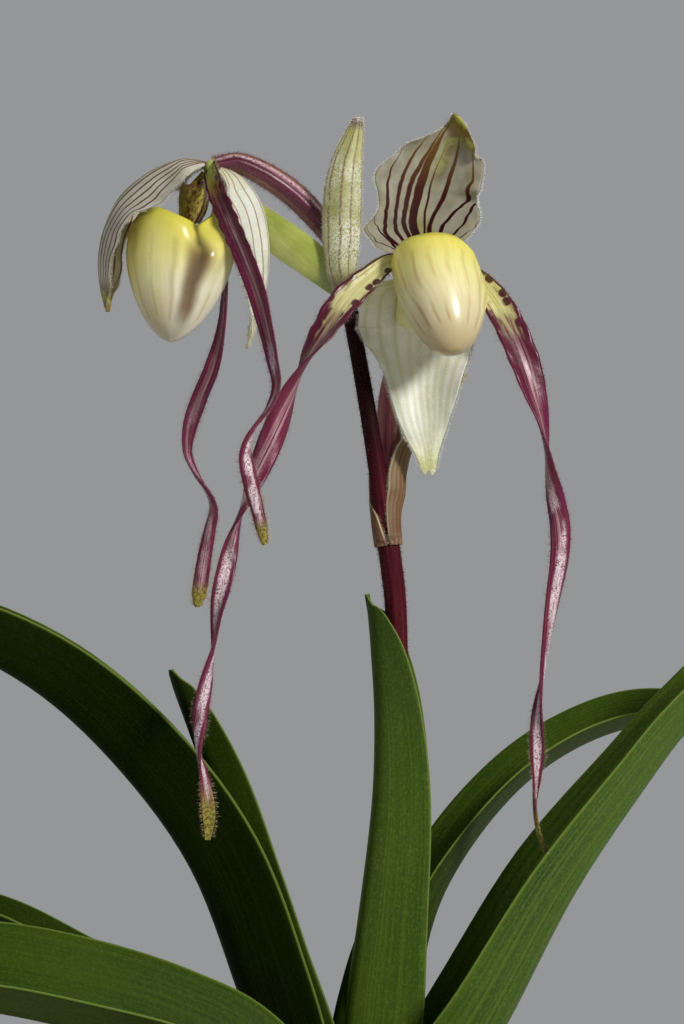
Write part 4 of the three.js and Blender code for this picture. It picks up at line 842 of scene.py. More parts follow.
def end_bract_paint():
    """Olive with dotted maroon veins, a fine white speckle of hairs over its middle made brighter there as
    painted highlight, and a brown and white tip.
    """
    paint = Paint("end_bract", glow=0.1)
    t = paint.t
    turn = paint.turn() + (paint.noise(150) - 0.5) * 0.25
    veins = paint.lines(turn, (-2.4, -1.5, -0.75, -0.1, 0.45, 1.2, 2.1, 2.9), 0.05, 0.06, 0, 0.88)
    paint.colour = paint.mottled(paint.noise(120, 4), (0.26, 0.25, 0.05), (0.46, 0.46, 0.15))
    # White speckle of hairs, strongest in the middle, where it is partly painted highlight
    bloom_and_highlight = paint.ramp(t, (0.1, 0.2), (0.32, 1.0), (0.6, 0.8), (0.84, 0.05)) * paint.noise(70).step(0.3, 0.55)
    paint.lay(paint.noise(2400, 3).step(0.36, 0.6) * bloom_and_highlight * 0.85, (0.9, 0.9, 0.82))
    paint.lay(veins * paint.noise(1800).step(0.3, 0.5) * 0.85, (0.16, 0.05, 0.04))
    # Painted shade: the bract darkened towards its foot
    paint.lay(t.step(0.22, 0.04) * 0.8, (0.12, 0.09, 0.03))
    paint.lay(t.step(0.82, 0.93), (0.16, 0.1, 0.07))
    paint.lay(t.step(0.9, 0.98) * paint.noise(2400).step(0.4, 0.55), (0.75, 0.7, 0.64))
    return paint.finish(paint.noise(1500, 3), 0.4)


def lower_bract_paint():
    """Tan and papery with brown veins outside, olive inside, with cream margins and a mottled brown foot."""
    paint = Paint("lower_bract", roughness=0.6, glow=0.1)
    across = paint.u + (paint.noise(140) - 0.5) * 0.08
    veins = paint.lines(across, [k / 10.5 for k in range(-10, 11)], 0.012, 0.016, 0, 0.9)
    paint.colour = paint.ramp(
        paint.t, (0.1, (0.19, 0.1, 0.042)), (0.5, (0.24, 0.15, 0.06)), (1.0, (0.22, 0.22, 0.055)))
    paint.lay(paint.face.step(-0.2, 0.2), (0.2, 0.18, 0.05))
    paint.lay(veins * 0.75, (0.1, 0.025, 0.015))
    paint.lay(abs(paint.u).step(0.94, 0.99), (0.55, 0.46, 0.28))
    foot = paint.ramp(paint.noise(900, 3), (0.4, (0.12, 0.035, 0.02)), (0.6, (0.3, 0.19, 0.1)))
    paint.lay(paint.t.step(0.1, 0.03), foot)
    return paint.finish(paint.noise(800, 3), 0.4)


def green_bract_paint():
    paint = Paint("green_bract", roughness=0.24, glow=0.1, coat=0.7)
    across = paint.u + (paint.noise(120) - 0.5) * 0.14
    veins = paint.lines(across, (-0.62, -0.3, 0.02, 0.34, 0.66), 0.03, 0.05, 0, 0.9)
    paint.colour = paint.mottled(paint.noise(90, 3), (0.34, 0.42, 0.06), (0.56, 0.62, 0.16))
    paint.lay(veins * 0.15, (0.2, 0.22, 0.05))
    paint.lay(paint.t.step(0.3, 0.0) * 0.7, (0.12, 0.16, 0.03))
    return paint.finish(paint.noise(500), 0.2)


def ovary_paint(number):
    """Maroon with brown grooves and a painted pink-white highlight, speckled like fine hairs, along the side
    that faces up.
    """
    paint = Paint(f"ovary_{number}", roughness=0.36, coat=0.2, sheen=0.1)
    turn, streaks = paint.turn(), paint.grain(6, 5, hoop=6)
    # Flower 1's ovary gets lighter maroon as painted light, making up for the synsepal's shade over it
    if number == 1:
        paint.colour = paint.mottled(streaks, (0.24, 0.035, 0.06), (0.5, 0.14, 0.15))
    else:
        paint.colour = paint.ramp(
            streaks, (0.3, (0.06, 0.006, 0.018)), (0.6, (0.15, 0.018, 0.045)), (0.8, (0.34, 0.1, 0.13)))
    paint.lay((turn * 3).math("COSINE").step(-0.2, -0.95) * 0.6, (0.36, 0.15, 0.07))
    # Painted highlight: a pale pink speckled streak along the upper side
    bloom_and_highlight = abs(turn - 0.75).step(0.4, 0.1) * paint.noise(1500, 3).step(0.3, 0.55)
    paint.lay(bloom_and_highlight * paint.t.step(0.15, 0.45) * 0.8, (0.85, 0.62, 0.66))
    paint.lay(paint.t.step(0.9, 0.99), (0.5, 0.52, 0.14))
    return paint.finish(paint.noise(900), 0.3)


def column_paint():
    """Yellow-green, netted and freckled brown on its right half, with a dark margin."""
    paint = Paint("column", roughness=0.42)
    paint.colour = paint.mottled(paint.noise(160), (0.4, 0.36, 0.04), (0.6, 0.5, 0.08))
    freckles = paint.noise(1100, 3).step(0.5, 0.6).top(paint.grain(5, 9, 3).step(0.52, 0.6))
    freckles = freckles * paint.u.step(-0.35, 0.15)
    paint.lay(freckles * 0.85, (0.2, 0.06, 0.012))
    paint.lay(abs(paint.u).step(0.86, 0.98), (0.06, 0.018, 0.012))
    return paint.finish(freckles, 0.3)


# The first pouch is veined more and darker at its toe, with brown stains and painted shade; the second has
# wrinkles, a painted shadow band down the crease below its notch, and a green side
POUCH_LOOKS = {
    1: {"wobble": 0.75, "toe": (0.5, 0.38, 0.19), "low": 0.85, "vein": (0.45, 0.26, 0.06),
        "stain_and_shade": 0.5, "wrinkled": 0.1, "bump": 0.18},
    2: {"wobble": 0.5, "toe": (0.62, 0.54, 0.34), "low": 0.6, "vein": (0.45, 0.38, 0.07),
        "stain_and_shade": 0.15, "wrinkled": 0.7, "bump": 0.4},
}


def pouch_paint(number):
    """Waxy: yellow at the rim, cream below and tan at the toe, which is darkened further with painted shade,
    with soft brown veins from rim to toe.
    """
    look = POUCH_LOOKS[number]
    paint = Paint(f"pouch_{number}", roughness=0.3, coat=0.18, coat_roughness=0.18, glow=0.18)
    t = paint.t
    turn = paint.turn() + (paint.noise(55, 3) - 0.5) * look["wobble"]
    places = (-1.5, -1.1, -0.72, -0.3, 0.12, 0.5, 0.95, 1.4, 1.9, 2.4)
    veins = paint.lines(turn, places, 0.035, 0.075, 0.16, 0.82) * paint.noise(60, 3).step(0.25, 0.55)
    fine = (turn * 31).math("SINE").step(0.2, 1.0) * 0.12 * t.step(0.2, 0.4)
    # Darker tan towards the toe: partly the pouch's own tan, partly painted shade
    paint.colour = paint.ramp(
        t, (0.0, look["toe"]), (0.2, (0.72, 0.62, 0.37)), (0.42, (0.88, 0.81, 0.46)),
        (0.65, (0.9, 0.83, 0.33)), (0.85, (0.87, 0.78, 0.17)), (1.0, (0.78, 0.7, 0.08)))
    if number == 2:
        paint.lay(turn.step(1.5, 0.7) * t.step(0.3, 0.7) * 0.45, (0.6, 0.62, 0.12))
        paint.lay(turn.step(1.1, 1.5) * t.step(0.75, 0.4) * 0.6, (0.88, 0.85, 0.72))
    paint.lay(veins.top(fine) * t.step(0.95, 0.3).span(0.45, look["low"]), look["vein"])
    # Brown patches towards the toe: partly stains, partly painted shade
    paint.lay(paint.noise(45, 3).step(0.5, 0.75) * t.step(0.6, 0.15) * look["stain_and_shade"], (0.36, 0.22, 0.13))
    if number == 2:
        # Painted shadow: a brown band down the crease below the notch, standing for a petal's shadow and the
        # crease's shade
        painted_groove_shadow = abs(turn - 1.84).step(0.36, 0.06) * abs(t - 0.5).step(0.44, 0.2)
        paint.lay(painted_groove_shadow * 0.85, (0.27, 0.15, 0.06))
    wrinkles = paint.noise(1, 2, paint.value("CombineXYZ", turn * 3, t * 34, 0))
    return paint.finish(wrinkles * look["wrinkled"] + paint.noise(260), look["bump"])


# Stripes of the dorsal sepals: half width in mm, then (share of the length, mm from the midline) points
STRIPES = {
    1: [
        (0.36, [(0.03, -2.6), (0.21, -10.8), (0.28, -12.9), (0.36, -14.5)]),
        (0.5, [(0.03, -2.4), (0.15, -7), (0.23, -9), (0.34, -11.6), (0.42, -12.2)]),
        (0.5, [(0.03, -2.1), (0.24, -8.6), (0.39, -9.4), (0.48, -8.9), (0.6, -9.1), (0.72, -8.4)]),
        (0.5, [
            (0.03, -1.7), (0.26, -6.4), (0.43, -6.6), (0.5, -6.1), (0.6, -5.7), (0.69, -5.3), (0.84, -3.4)]),
        (0.6, [
            (0.03, -1.2), (0.3, -4.5), (0.45, -4.2), (0.53, -3.6), (0.61, -3.1), (0.72, -2.3), (0.9, -1.2)]),
        (1.05, [(0.03, -0.6), (0.3, -2.5), (0.44, -2), (0.5, -1.5), (0.61, -1), (0.71, -1.1), (0.92, -0.5)]),
        (0.3, [(0.2, -0.3), (0.29, 0), (0.42, 0.6), (0.5, 1.2), (0.64, 1.4), (0.8, 1.1)]),
        (0.6, [(0.03, 0.2), (0.31, 1.3), (0.41, 3.3), (0.5, 4.9), (0.62, 5.7), (0.77, 4.9), (0.92, 3)]),
        (0.6, [(0.03, 0.6), (0.3, 4.7), (0.4, 8.6), (0.5, 11.4), (0.64, 10.9), (0.72, 10.9), (0.86, 7.4)]),
        (0.45, [(0.03, 1), (0.24, 8.1), (0.33, 11.1), (0.41, 12.6), (0.5, 14), (0.62, 14), (0.72, 13.8)]),
        (0.5, [(0.03, 1.6), (0.2, 10.1), (0.26, 13.2), (0.3, 14)]),
    ],
    2: [
        (0.24, [(0.02, mm * 0.28), (0.2, mm * 0.85), (0.5, mm), (0.8, mm * 0.75), (0.96, mm * 0.3)])
        for mm in (-10, -7.8, -5.6, -3.4, -1.2, 1.2, 3.2, 5.2, 7.2, 9.2, 11.2)
    ],
}
# Flower 1's cream is much darker than flower 2's: painted shade over that dorsal sepal
DORSAL_LOOKS = {
    1: {"cream": ((0.24, 0.22, 0.14), (0.42, 0.4, 0.31)), "vein": 2,
        "maroon": ((0.03, 0.003, 0.004), (0.05, 0.009, 0.006))},
    2: {"cream": ((0.46, 0.43, 0.33), (0.66, 0.63, 0.54)), "vein": 0,
        "maroon": ((0.1, 0.02, 0.012), (0.13, 0.03, 0.015))},
}
# The synsepals' veins, as millimetres from the midline where they are widest, with their looks
SYNSEPAL_LOOKS = {
    1: {"veins": (-9.8, -6.8, -4, -1.4, 1.4, 4.4, 8, 12, 15.4), "half": 0.45, "soft": 0.7, "strength": 0.45,
        "tint": (0.44, 0.5, 0.14), "tip": 0.8},
    2: {"veins": (-10.6, -7.6, -4.8, -2, 0.6, 3, 5.6, 8.2, 10.8), "half": 0.2, "soft": 0.16, "strength": 0.75,
        "tint": (0.26, 0.09, 0.03), "tip": 0.68},
}
# The share of each petal's length that is green at its base, and how strongly its band of silvery fuzz and
# painted sheen shows; flower 2's far petal gets little, as painted shade
PETAL_LOOKS = {
    (1, "left"): (0.17, 0.85), (1, "right"): (0.13, 0.85),
    (2, "near"): (0.065, 0.85), (2, "far"): (0.12, 0.25),
}


def dorsal_paint(number):
    """Cream with maroon stripes, which run out to the margins one after the other, and an olive tip."""
    paint = Paint(f"dorsal_{number}", roughness=0.6, specular=0.1, glow=0.05)
    look, t = DORSAL_LOOKS[number], paint.t
    arc = paint.arc(FLOWERS[number]["dorsal"]) + (paint.noise(160) - 0.5) * 0.9
    stripes = paint.stripes(arc, STRIPES[number], 0.16)
    paint.colour = paint.mottled(paint.noise(200, 3), *look["cream"])
    paint.lay(abs(arc + 0.5).step(4.5, 1) * t.step(0.6, 0.2) * 0.7, (0.3, 0.29, 0.07))
    olive = paint.ramp(paint.noise(300, 3), (0.42, (0.2, 0.14, 0.03)), (0.58, (0.4, 0.39, 0.08)))
    vein = abs(arc - look["vein"]).step(3, 0.5) * t.step(0.5, 0.78) * 0.7
    paint.lay(t.step(0.78, 0.94).top(vein), olive)
    low, middle = look["maroon"]
    paint.lay(stripes, paint.ramp(t, (0.3, low), (0.55, middle), (0.85, (0.17, 0.09, 0.02))))
    return paint.finish(stripes + paint.noise(700), 0.2)


def synsepal_paint(number):
    """White with painted glints of sparkle; its veins are broad, faint and green on flower 1, thin and brown
    on flower 2.
    """
    paint = Paint(f"synsepal_{number}", roughness=0.45, glow=0.22)
    look, t = SYNSEPAL_LOOKS[number], paint.t
    arc = paint.arc(FLOWERS[number]["synsepal"]) + (paint.noise(110) - 0.5) * 1.1
    spread = ((0, 0.3), (0.15, 0.85), (0.35, 1), (0.6, 0.72), (0.78, 0.42), (0.97, 0.18))
    rows = [(look["half"], [(place, mm * share) for place, share in spread]) for mm in look["veins"]]
    veins = paint.stripes(arc, rows, look["soft"]) * paint.noise(60, 3).step(0.25, 0.55)
    paint.colour = paint.mottled(paint.noise(180, 3), (0.68, 0.69, 0.56), (0.84, 0.85, 0.77))
    paint.lay(t.step(0.3, 0.0) * 0.5, (0.52, 0.55, 0.2))
    paint.lay(t.step(look["tip"], 0.98) * 0.75, (0.5, 0.52, 0.12))
    # Painted glints: fine near-white specks that stand in for the sparkle of light on the white
    paint.lay(paint.noise(2200).step(0.5, 0.7) * 0.5, (0.95, 0.96, 0.95))
    paint.lay(veins * look["strength"], look["tint"])
    return paint.finish(veins + paint.noise(900), 0.25)


def petal_paint(name, start, shine):
    """Green from the base to a share `start` of the length, spotted along its margins, then maroon.

    Further down a silvery band of fine speckles, fuzz with a painted sheen where light strikes, comes and
    goes along the midline.
    """
    paint = Paint(name, roughness=0.34, coat=0.12, coat_roughness=0.25, glow=0.05, sheen=0.06, specular=0.3)
    far, t = abs(paint.u), paint.t
    drift, streaks = paint.grain(4, 26, 3), paint.grain(9, 7)
    if start > 0.1:
        paint.colour = paint.mottled(streaks, (0.5, 0.46, 0.14), (0.76, 0.74, 0.42))
    else:
        paint.colour = paint.ramp(t, (0.3 * start, (0.34, 0.42, 0.06)), (1.1 * start, (0.26, 0.13, 0.03)))
    maroon = paint.ramp(
        streaks, (0.3, (0.085, 0.005, 0.022)), (0.6, (0.18, 0.014, 0.055)), (0.8, (0.38, 0.09, 0.15)))
    maroon = paint.blend(t.step(start + 0.22, start + 0.02) * 0.6, maroon, (0.06, 0.006, 0.016))
    paint.lay(drift.step(0.5, 0.6) * far.step(0.3, 0.6) * 0.6, (0.14, 0.035, 0.012))
    spots = paint.cells(1, paint.grid(1.1, 52)).step(0.42, 0.3) * far.step(0.25, 0.5)
    rim = (far + (drift - 0.5) * 0.5).step(0.78, 0.9)
    paint.lay(spots.top(rim) * 0.95, (0.05, 0.006, 0.012))
    border = t + (drift - 0.5) * 0.12 + far.step(0.4, 1.0) * (0.35 * start)
    paint.lay(border.step(start - 0.02, start + 0.05), maroon)
    pale = far.step(0.55, 0.1) * streaks.step(0.4, 0.6) * t.step(start, start + 0.1)
    paint.lay(pale * 0.6, (0.66, 0.4, 0.42))
    band = (far + drift * 0.4).step(0.95, 0.55) * paint.grain(0.5, 11).step(0.38, 0.52)
    # Silvery fuzz painted as a sheen where light strikes the lower petal
    silver_fuzz_and_sheen = paint.noise(2600, 3).step(0.36, 0.54) * band * t.step(0.36, 0.5) * t.step(0.95, 0.87)
    paint.lay(silver_fuzz_and_sheen * shine, (0.92, 0.76, 0.82))
    fuzz = paint.ramp(paint.noise(1800), (0.4, (0.14, 0.11, 0.01)), (0.62, (0.4, 0.34, 0.06)))
    paint.lay(t.step(0.89, 0.95), fuzz)
    return paint.finish(streaks + paint.noise(900), 0.35)


# Pot, bark and roots


def pot_slope(z):
    """The pot's outer radius at a height, below its rim."""
    return mix(POT["base_radius"], POT["top_radius"] - POT["rim_out"], z / POT["height"])


def turned(profile, sides):
    """Rings and places about the Z axis from a list of (radius, height)."""
    r, z = np.array(profile, float).T[..., None]
    x, y = np.cos(turns(sides)), np.sin(turns(sides))
    return stacked(r * x, r * y, z), stacked(x, np.linspace(0, 1, len(r))[:, None], y)


def rounded(corners, radius, steps=5):
    """A profile with each inner corner replaced by a short curve."""
    corners = np.array(corners, float)
    out = [corners[0]]
    for before, corner, after in zip(corners, corners[1:], corners[2:]):
        start, stop = (
            corner + unit(end - corner) * min(radius, 0.45 * np.linalg.norm(end - corner))
            for end in (before, after))
        for share in np.linspace(0, 1, steps):
            out.append(mix(mix(start, corner, share), mix(corner, stop, share), share))
    return [*out, corners[-1]]


def dense(profile, longest):
    """The profile with its long stretches cut into parts."""
    out = []
    for (r0, z0), (r1, z1) in zip(profile, profile[1:]):
        parts = max(1, int(math.hypot(r1 - r0, z1 - z0) / longest))
        out += [(mix(r0, r1, k / parts), mix(z0, z1, k / parts)) for k in range(parts)]
    return [*out, profile[-1]]


def make_pot():
    height, top, base, floor = POT["height"], POT["top_radius"], POT["base_radius"], POT["floor"]
    wall, lip = POT["wall"], POT["lip"]
    band = height - POT["rim_height"]
    corners = [
        (0.5, 0), (base - lip, 0), (base, lip), (pot_slope(band), band - lip), (top - lip, band),
        (top - lip / 2, band + lip), (top, height - lip), (top - lip / 2, height), (top - wall, height),
        (pot_slope(height) - wall, height - lip), (pot_slope(floor) - wall, floor), (0.5, floor),
    ]
    rings, places = turned(dense(rounded(corners, POT["softness"]), POT["stretch"]), POT["sides"])
    z = rings[..., 2]
    radius = np.linalg.norm(rings[..., :2], axis=-1)
    outside = (radius > pot_slope(z) - 1) & (z > lip)
    worn = np.abs(ripple(rings, 14) * 0.35 + ripple(rings, 4, 3.0) * 0.1 + 0.12 * np.sin(z * 1.9))
    rings[..., :2] *= (1 - outside * 0.6 * (0.3 + worn) / radius)[..., None]
    shape = Shape()
    shape.add_rings(rings, places)
    piece = shape.piece("pot", "clay", clay_paint())
    for k in range(POT["drains"]):
        drill_drain(piece, 2 * np.pi * (k + 0.25) / POT["drains"])


def drill_drain(pot, angle):
    reach = POT["drain_ring"] * MM
    bpy.ops.mesh.primitive_cylinder_add(
        vertices=40, radius=POT["drain_radius"] * MM, depth=0.05,
        location=(reach * math.cos(angle), reach * math.sin(angle), 0))
    drill = bpy.context.object
    cut = pot.modifiers.new("drain", "BOOLEAN")
    cut.operation, cut.object = "DIFFERENCE", drill
    seen = pot.evaluated_get(bpy.context.evaluated_depsgraph_get())
    mesh = bpy.data.meshes.new_from_object(seen)
    pot.modifiers.clear()
    pot.data = mesh
    bpy.data.objects.remove(drill)


def chunk(size, rings, around, blunt=0.42):
    """A box-like lump with rounded edges: a superellipsoid's rings and places."""
    up = np.linspace(-np.pi / 2, np.pi / 2, rings + 2)[1:-1][:, None]
    angle = turns(around)
    cos_up, sin_up, cos_round, sin_round = (
        np.sign(x) * np.abs(x) ** blunt
        for x in (np.cos(up), np.sin(up), np.cos(angle), np.sin(angle)))
    places = stacked(cos_up * cos_round, cos_up * sin_round, sin_up)
    return places * np.array(size) / 2, places


def add_chips(shape, kind, draw, edge, first):
    """Lumps in a sunflower's spiral, each with its own size, skew, bumps and turn."""
    golden = math.pi * (3 - math.sqrt(5))
    for k in range(kind["count"]):
        length = mix(*kind["length"], next(draw))
        size = (length, length * mix(*kind["breadth"], next(draw)), mix(*kind["thick"], next(draw)))
        skew = [next(draw) - 0.5 for _ in range(3)] if kind["skewed"] else (0, 0, 0)
        turn = [(next(draw) - 0.5) * tilt for tilt in kind["tilt"]] + [next(draw) * math.pi]
        radius = (edge - kind["from_wall"]) * math.sqrt((k + 0.5) / kind["count"])
        angle = k * golden + kind["first_turn"]
        rise = BARK["top"] + mix(*kind["rise"], next(draw))
        spot = np.array((radius * math.cos(angle), radius * math.sin(angle), rise))
        points, places = chunk(size, *kind["mesh"])
        x, y, z = np.moveaxis(points, -1, 0)
        points = stacked(x + 0.3 * skew[0] * y, y * (1 + skew[1] * x / size[0]), z + 0.12 * skew[2] * x)
        own = first + k
        rough = ripple(points + 40 * own, 2.2) * 0.55 + ripple(points * (0.4, 2, 1) + 9 * own, 1.2) * 0.3
        points *= 1 + (rough * 1.6 / np.maximum(2, np.linalg.norm(points, axis=-1)))[..., None]
        places[..., 1] = (own * 0.618) % 1
        shape.add_rings(points @ np.array(Euler(turn).to_matrix()).T + spot, places)


def make_bark():
    top, low, wall = BARK["top"], POT["floor"] + BARK["gap"], POT["wall"] + BARK["gap"]
    edge = pot_slope(top) - wall
    profile = [(0.5, low), (pot_slope(low) - wall, low)]
    profile += [(pot_slope(z) - wall, z) for z in np.linspace(low + 4, top, 12)]
    profile += [(r, top) for r in np.linspace(edge - 1.5, 0.5, 26)]
    rings, places = turned(profile, BARK["sides"])
    topside = rings[..., 2] > top - 0.5
    rings[..., 2] += topside * (ripple(rings, 5) * 1.6 + ripple(rings, 1.8, 5.0) * 0.6)
    shape = Shape()
    shape.add_rings(rings, places)
    draw, first = draws(BARK["seed"]), 0
    for kind in CHIPS:
        add_chips(shape, kind, draw, edge, first)
        first += kind["count"]
    shape.piece("bark", "bark", bark_paint())


def make_roots():
    shape = Shape()
    for rows in RHIZOME:
        shape.add_tube(Tube(rows, relief=lambda angle, t: 0.12 * np.sin(40 * t)), *STEPS["rhizome"])
    for rows in ROOTS:
        shape.add_tube(Tube(rows, relief=lambda angle, t: 0.1 * np.sin(31 * t + 2 * angle)), *STEPS["root"])
    shape.piece("rhizome_and_roots", "root", root_paint())


# Leaves


def leaf_sheet(name):
    inward = -1 if name in ("leaf_right", "leaf_right_back", "leaf_low_right") else 1
    rows = [[x, y, z, w, w, -inward * roll, fold] for x, y, z, w, roll, fold in LEAVES[name]]
    phase = sum(map(ord, name))

    def wave(u, t):
        return 0.35 * np.abs(u) ** 2 * np.sin(9 * t + phase + u) * smooth(t / 0.3) * smooth((1 - t) / 0.2)

    def keel(t, fold):
        return mix(fold * NEST[name], LEAF["keel"], smooth(t / 0.4))

    return Sheet(rows, ("side", (0, inward, 0)), LEAF, wave, keel=keel)


def make_leaves():
    for name in LEAVES:
        shape = Shape()
        shape.add_sheet(leaf_sheet(name), *STEPS["leaf"], ease=0.3)
        shape.piece(name, "leaf", leaf_paint(name, *LEAF_PAINTED_LIGHTING.get(name, HIDDEN_LEAF_PAINTED_LIGHTING)))


# The flower stem and its bracts


def make_stem():
    def joints(angle, t):
        return 0.22 * bump(t, 0.64, 0.02) + 0.03 * np.cos(5 * angle + 9 * t)

    tube = Tube(SCAPE, relief=joints)
    shape = Shape()
    shape.add_tube(tube, *STEPS["stem"])
    tube_hairs(shape, tube, *FUR["stem"], lift=0.1)
    hairs = hair_paint("scape_hair", (0.05, 0.008, 0.01), (0.16, 0.06, 0.06))
    shape.piece("flower_stem", "scape", scape_paint(), hairs)


def make_end_bract():
    def folds(angle, t):
        crease = 0.3 * bump(angle, np.pi * 0.25, 0.35) * smooth(t / 0.15)
        return 0.16 * np.cos(6 * angle) * smooth(t / 0.2) - crease

    tube = Tube(END_BRACT, ridge=0.05, ridges=2, flat=0.62, relief=folds)
    shape = Shape()
    shape.add_tube(tube, *STEPS["end_bract"])
    tube_hairs(shape, tube, *FUR["end_bract"], lift=0.5)
    hairs = hair_paint("bract_hair", (0.8, 0.78, 0.6), (0.95, 0.93, 0.85))
    shape.piece("end_bract", "end_bract", end_bract_paint(), hairs)


def make_bracts():
    hairs = hair_paint("bract_fringe", (0.7, 0.62, 0.45), (0.9, 0.85, 0.7))
    for name, rows, toward, kind, paint in (
        ("lower_bract", LOWER_BRACT, TO_VIEWER, LOWER, lower_bract_paint()),
        ("green_bract", GREEN_BRACT, (0, 1, 0.3), GREEN, green_bract_paint()),
    ):
        sheet = Sheet(rows, ("toward", toward), kind)
        hairy_sheet(sheet, "bract").piece(name, name, paint, hairs)


# Flowers


def make_ovary(number, flower):
    """The ovary with its pedicel, and the knob at its end that carries the flower."""
    ovary = Tube(flower["ovary"], ridge=0.1, relief=lambda angle, t: 0.05 * np.cos(9 * angle))
    shape = Shape()
    shape.add_tube(ovary, *STEPS["ovary"])
    down, around = STEPS["knob"]
    turn, up = turns(around), np.linspace(0.05, np.pi - 0.05, down)[:, None]
    ball = stacked(np.sin(up) * np.cos(turn), np.sin(up) * np.sin(turn), 0.94 * np.cos(up))
    places = stacked(np.cos(turn), np.ones_like(up), np.sin(turn))
    shape.add_rings(np.array(flower["centre"]) + ball * KNOB, places)
    tube_hairs(shape, ovary, *FUR["ovary"], span=(0.04, 0.95), lift=0.2)
    shape.piece(f"flower_{number}_ovary", "ovary", ovary_paint(number), DARK_HAIR)


def make_column(number, flower):
    """The column with its stigma below and its shield-like staminode in front."""
    shape = Shape()
    shape.add_tube(Tube(flower["column"]), *STEPS["column"])
    stigma = Tube(flower["stigma"])
    shape.add_tube(stigma, *STEPS["stigma"])
    tube_hairs(shape, stigma, *FUR["stigma"])
    up = unit(np.array(flower["shield"]["up"], float))
    centre, face = np.array(flower["shield"]["centre"]), np.array(flower["shield"]["face"], float)
    rows = [[*(centre + up * height), width, width, 0, PLATE["fold"]] for height, width in SHIELD]
    plate = Sheet(rows, ("toward", -face), PLATE)
    shape.add_sheet(plate, *STEPS["shield"])
    face_hairs(shape, plate, *FUR["shield"], -1)
    margin_hairs(shape, plate, *FUR["shield_margin"])
    shape.piece(f"flower_{number}_column", "column", COLUMN_PAINT, DARK_HAIR)


class Pouch:
    """An egg-shaped cup, open upwards, its sides notched, creased and folded in behind the front dome."""

    def __init__(self, toe, up, front, tilt, lobes, rim):
        self.tilt, self.lobes, self.rim = tilt, lobes, np.array(rim, float).T
        self.toe, self.axis = np.array(toe, float), unit(np.array(up, float))
        forward = np.array(front, float)
        self.forward = unit(forward - self.axis * np.dot(forward, self.axis))
        self.lateral = np.cross(self.axis, self.forward)

    @staticmethod
    def swell(q, widest, power, blunt):
        """The cup's half width at a share of its height, 1 where it is widest."""
        rising = (1 - np.maximum(0, 1 - q / widest) ** power) ** blunt
        return np.where(q < widest, rising, 1 - 0.9 * (q - widest) ** 2)

    def at(self, share, phi, inset):
        """Points at a share of the way from toe to rim, phi degrees round from the front."""
        from_front = np.minimum(phi, 360 - phi)
        ahead, aside = np.cos(np.radians(phi)), np.sin(np.radians(phi))
        q = share * (np.interp(from_front, *self.rim) + self.tilt * aside)
        behind = smooth((from_front - 70) / 60)
        tuck = 1 - POUCH["tuck"] * behind * smooth((share - 0.78) / 0.22)
        crease = 0.05 * bump(from_front, 108, 22) * smooth((share - 0.7) / 0.25)
        crevice = 0.1 * bump(from_front, 97, 16) * bump(share, 0.52, 0.3)
        lobe = POUCH["lobe"]
        lump = bump(from_front, lobe["angle"], lobe["spread"]) * bump(share, lobe["share"], lobe["reach"])
        rolled = 0.07 * smooth((share - 0.92) / 0.08) * (1 - behind)
        fold = tuck * (1 - crease - crevice + np.where(phi < 180, *self.lobes) * lump)
        deep, wide = (self.swell(q, *POUCH[way]) * fold - rolled for way in ("deep", "wide"))
        height = q * POUCH["height"]
        if inset > 0:
            height = np.maximum(height, inset + q * (POUCH["height"] - inset))
        depth = (np.where(ahead < 0, POUCH["back"], POUCH["front"]) - inset) * deep * ahead
        depth = depth + POUCH["lean"] * (1 - q) ** 2
        veins = 0.07 * np.cos(np.radians(phi) * 22) * bump(share, 0.5, 0.5)
        width = (POUCH["side"] - inset + veins) * wide * aside
        way = zip((height, depth, width), (self.axis, self.forward, self.lateral))
        return self.toe + sum(size[..., None] * direction for size, direction in way)

    def rings(self, down, around):
        share, phi = np.broadcast_arrays(
            ((np.arange(down) + 1) / down)[:, None] ** 1.35, np.arange(around) / around * 360)
        outer, inner = self.at(share, phi, 0), self.at(share, phi, POUCH["shell"])[::-1]
        lengthwise = np.concatenate([share, 2 - share[::-1]])
        turn = turns(around)
        return np.concatenate([outer, inner]), stacked(np.cos(turn), lengthwise, np.sin(turn))


def make_pouch(number, flower):
    shape = Shape()
    shape.add_rings(*Pouch(**flower["pouch"]).rings(*STEPS["pouch"]))
    shape.piece(f"flower_{number}_pouch", "pouch", pouch_paint(number))


def petal_wave(u, t):
    """Warts along the margins near the base, and margins that rise a little further on."""
    warts = 0.35 * np.abs(u) ** 5 * np.sin(190 * t + 5 * u) * bump(t, 0.14, 0.14)
    return warts + 0.3 * u * u * smooth(t / 0.1)


def make_petals(number, flower):
    for side, rows in flower["petals"].items():
        full = [[x, y, z, w, w, roll, PETAL["fold"]] for x, y, z, w, roll in rows]
        sheet = Sheet(full, ("toward", TO_VIEWER), PETAL, petal_wave)
        shape = hairy_sheet(sheet, "petal", faces=(-1, 1))
        paint = petal_paint(f"petal_{number}_{side}", *PETAL_LOOKS[number, side])
        shape.piece(f"flower_{number}_petal_{side}", "petal", paint, PETAL_HAIR)


def sepal_wave(amount, count, phase):
    def wave(u, t):
        fade = smooth(t / 0.2) * smooth((1 - t) / 0.15)
        slow = amount * np.abs(u) ** 3 * np.sin(2 * np.pi * count * t + phase * np.sign(u))
        quick = 0.22 * amount * np.abs(u) ** 6 * np.sin(2 * np.pi * 9 * t + 3 * u)
        return (slow + quick) * fade

    return wave


def make_sepal(number, rows, node, wave, notch, paint):
    flower = FLOWERS[number]
    sheet = Sheet(rows, flower["near"], SEPAL, sepal_wave(flower["wave"], *wave), notch)
    hairy_sheet(sheet, "sepal", ease=0.5).piece(f"flower_{number}_{node}", "sepal", paint, PALE_HAIR)


# Stage, light and camera

BACKDROP = (0.3, 0.305, 0.31)


